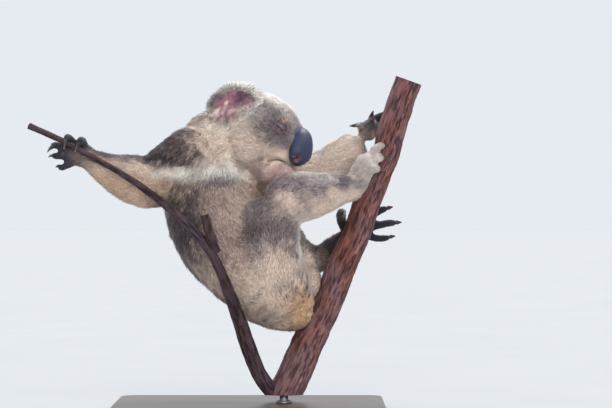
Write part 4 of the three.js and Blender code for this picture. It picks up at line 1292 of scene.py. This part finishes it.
def make_base(material):
    """The base: a rectangle with round corners, its edge carried round in a profile with a soft arris
    above and a small one below, closed flat over the middle."""
    half_x, half_y, corner, height, flat = 215.0, 155.0, 28.0, 18.0, 60.0
    quarter = np.linspace(0, np.pi / 2, 12)
    arcs = [(half_x - corner, half_y - corner, 0), (-half_x + corner, half_y - corner, 1),
            (-half_x + corner, -half_y + corner, 2), (half_x - corner, -half_y + corner, 3)]
    centres = np.concatenate([np.full((12, 2), (x, y)) for x, y, _ in arcs])
    angles = np.concatenate([quarter + k * np.pi / 2 for _, _, k in arcs])
    ways = np.stack((np.cos(angles), np.sin(angles)), 1)
    arris = 2.4
    bend = np.linspace(0, np.pi / 2, 7)
    inset = np.concatenate(((arris + 0.8,), arris * 0.4 * (1 - np.sin(bend)), arris * (1 - np.cos(bend)),
                            (arris + 0.8,)))
    level = np.concatenate(((0,), arris * 0.4 * (1 - np.cos(bend)), height - arris * (1 - np.sin(bend)),
                            (height,)))
    inset = np.concatenate(((flat,), inset, (flat,)))
    level = np.concatenate(((0,), level, (height,)))
    radius = corner - inset
    pulled = np.where(radius < 0, radius, 0)
    rings = np.zeros((len(inset), len(angles), 3))
    rings[:, :, :2] = centres[None] + ways[None] * np.maximum(radius, 0.5)[:, None, None]
    rings[:, :, :2] += np.sign(centres)[None] * pulled[:, None, None]
    rings[:, :, 2] = level[:, None]
    points, quads, tris = tube(rings, (0, 0, 0), (0, 0, height))
    base = piece("stand_base_board", points, *outward(points, quads, tris))
    return wear(base, material, "stand_base", "stand_base")


def make_rod(name, y, material):
    """A short rod with a thin collar at its foot: a profile of (radius, height) turned round an upright
    axis."""
    radius, level = np.array([(0.5, 18.02), (12, 18.02), (12.6, 18.6), (12.6, 20.2), (12, 20.9),
                              (7.6, 21.1), (6.9, 21.8), (6.9, 31.5), (6.4, 32), (0.5, 32)]).T[:, :, None]
    angle = np.linspace(0, 2 * np.pi, 48, endpoint=False)
    rings = np.stack((ROD_X + radius * np.cos(angle), y + radius * np.sin(angle), level + 0 * angle), 2)
    points, quads, tris = tube(rings, (ROD_X, y, level[0, 0]), (ROD_X, y, level[-1, 0]))
    rod = piece(f"{name}_turned", points, *outward(points - points.mean(0), quads, tris))
    return wear(rod, material, "stand_rod", name)


# ---- Making ----------------------------------------------------------------------------------------
fur = fur_finish()
hide = skin_finish()
leather = leather_finish("nose_hide", ((0.85, 0.85, 0.88), (1.1, 1.1, 1.12)), 0.5, 700, 0.0007,
                         Coat_Weight=0.08, Coat_Roughness=0.4)
horn = horn_finish()
eyeball = eye_finish()
bark = bark_finish("fibrous_bark", tone(62, 38, 40), tone(116, 78, 76), tone(150, 88, 66),
                   tone(186, 164, 158), tone(122, 100, 106), 1.0)
twig = bark_finish("twig_bark", tone(34, 25, 31), tone(70, 54, 58), tone(86, 60, 56), tone(136, 118, 122),
                   tone(84, 72, 82), 2.2)

skin = make_skin()
unwrap(skin)
points, normals, _ = arrays(skin.data)
near = nearness(points)
paint(skin, "tone", markings(points, near) * 0.92)
paint(skin, "bare", bareness(points, near))
FLESH_NODES = [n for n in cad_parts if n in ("rump", "chest", "head", "neck") or n.split("_")[0] in
               ("ear", "upper", "forearm", "hand", "thigh", "shin", "foot")]
wear(skin, hide, "cream_fur", *FLESH_NODES)
make_coat(skin, fur)

for side_name, side in (("right", -1), ("left", 1)):
    make_eye(f"eye_{side_name}", side, eyeball)
    make_lid(side_name, side, True, hide)
    make_lid(side_name, side, False, hide)
make_nose(leather)
for paw, digits in PAWS.items():
    for number, digit in enumerate([d for d in digits if d[3] > 0], 1):
        make_claw(f"claw_{paw}_{number}", digit, HOOKS[paw], horn)

make_bark("perch_stem_bark", STEM, 120, 330, 2.0, bark, ["perch_stem"], (1, 1), 1)
make_bark("perch_branch_bark", SIDE_BRANCH, 48, 380, 0.9, twig,
          ["perch_branch_lower", "perch_branch_upper"], (0, 1), 2)
make_bark("perch_stub_bark", STUB, 40, 60, 0.8, twig, ["perch_stub"], (0, 1), 3)
make_base(base_finish())
steel = rod_finish()
make_rod("stand_rod_front", -29, steel)
make_rod("stand_rod_back", 1, steel)

# ---- Floor, light and camera -----------------------------------------------------------------------
spread = np.linspace(0, 2 * np.pi, 96, endpoint=False)
disc = np.stack([np.stack((np.cos(spread) * r, np.sin(spread) * r, 0 * spread - 0.2), 1)
                 for r in (10, 4000, 30000)])
floor_points, floor_quads, floor_tris = tube(disc, (0, 0, -0.2), (0, 0, -0.2))
floor = piece("floor", floor_points, floor_quads[:, ::-1], floor_tris[:96])
floor_paint, floor_tree, floor_shader = finish("pale_floor", 0.8, Specular_IOR_Level=0.1)
cloud = ramp(floor_tree, grain(floor_tree, 3, 3), (0.3, (0.366, 0.379, 0.396)), (0.7, (0.381, 0.394, 0.411)))
floor_tree.links.new(cloud, floor_shader.inputs["Base Color"])
floor.data.materials.append(floor_paint)

world = bpy.data.worlds.new("studio")
bpy.context.scene.world = world
world.use_nodes = True
world.node_tree.nodes["Background"].inputs["Color"].default_value = (0.9, 0.945, 1.0, 1)
world.node_tree.nodes["Background"].inputs["Strength"].default_value = 0.88


def lamp(name, way, spread, strength, colour):
    """A soft light from far off along a way, spread over so many degrees of the sky."""
    light = bpy.data.lights.new(name, "SUN")
    light.angle = np.radians(spread)
    light.energy = strength
    light.color = colour
    made = bpy.data.objects.new(name, light)
    made.rotation_euler = (-Vector(way)).to_track_quat("-Z", "Y").to_euler()
    bpy.context.scene.collection.objects.link(made)


lamp("key", (1.2, 0.9, 2.1), 12, 3.0, (1.0, 0.97, 0.93))
lamp("rim", (-1.0, 1.0, 1.5), 30, 1.7, (0.97, 0.98, 1.0))
lamp("fill", (0.15, -1.0, 0.16), 60, 2.0, (1.0, 0.97, 0.94))
bpy.context.scene.view_settings.view_transform = "Standard"

eye_point = bpy.data.cameras.new("camera")
eye_point.sensor_width = 36
eye_point.lens = 36 * 4.5 / (612 * 1.6 * MM)
eye_point.clip_end = 100
viewer = bpy.data.objects.new("camera", eye_point)
viewer.location = (0.09, -4.5, 0.334)
viewer.rotation_euler = (np.pi / 2, 0, 0)
bpy.context.scene.collection.objects.link(viewer)
bpy.context.scene.camera = viewer
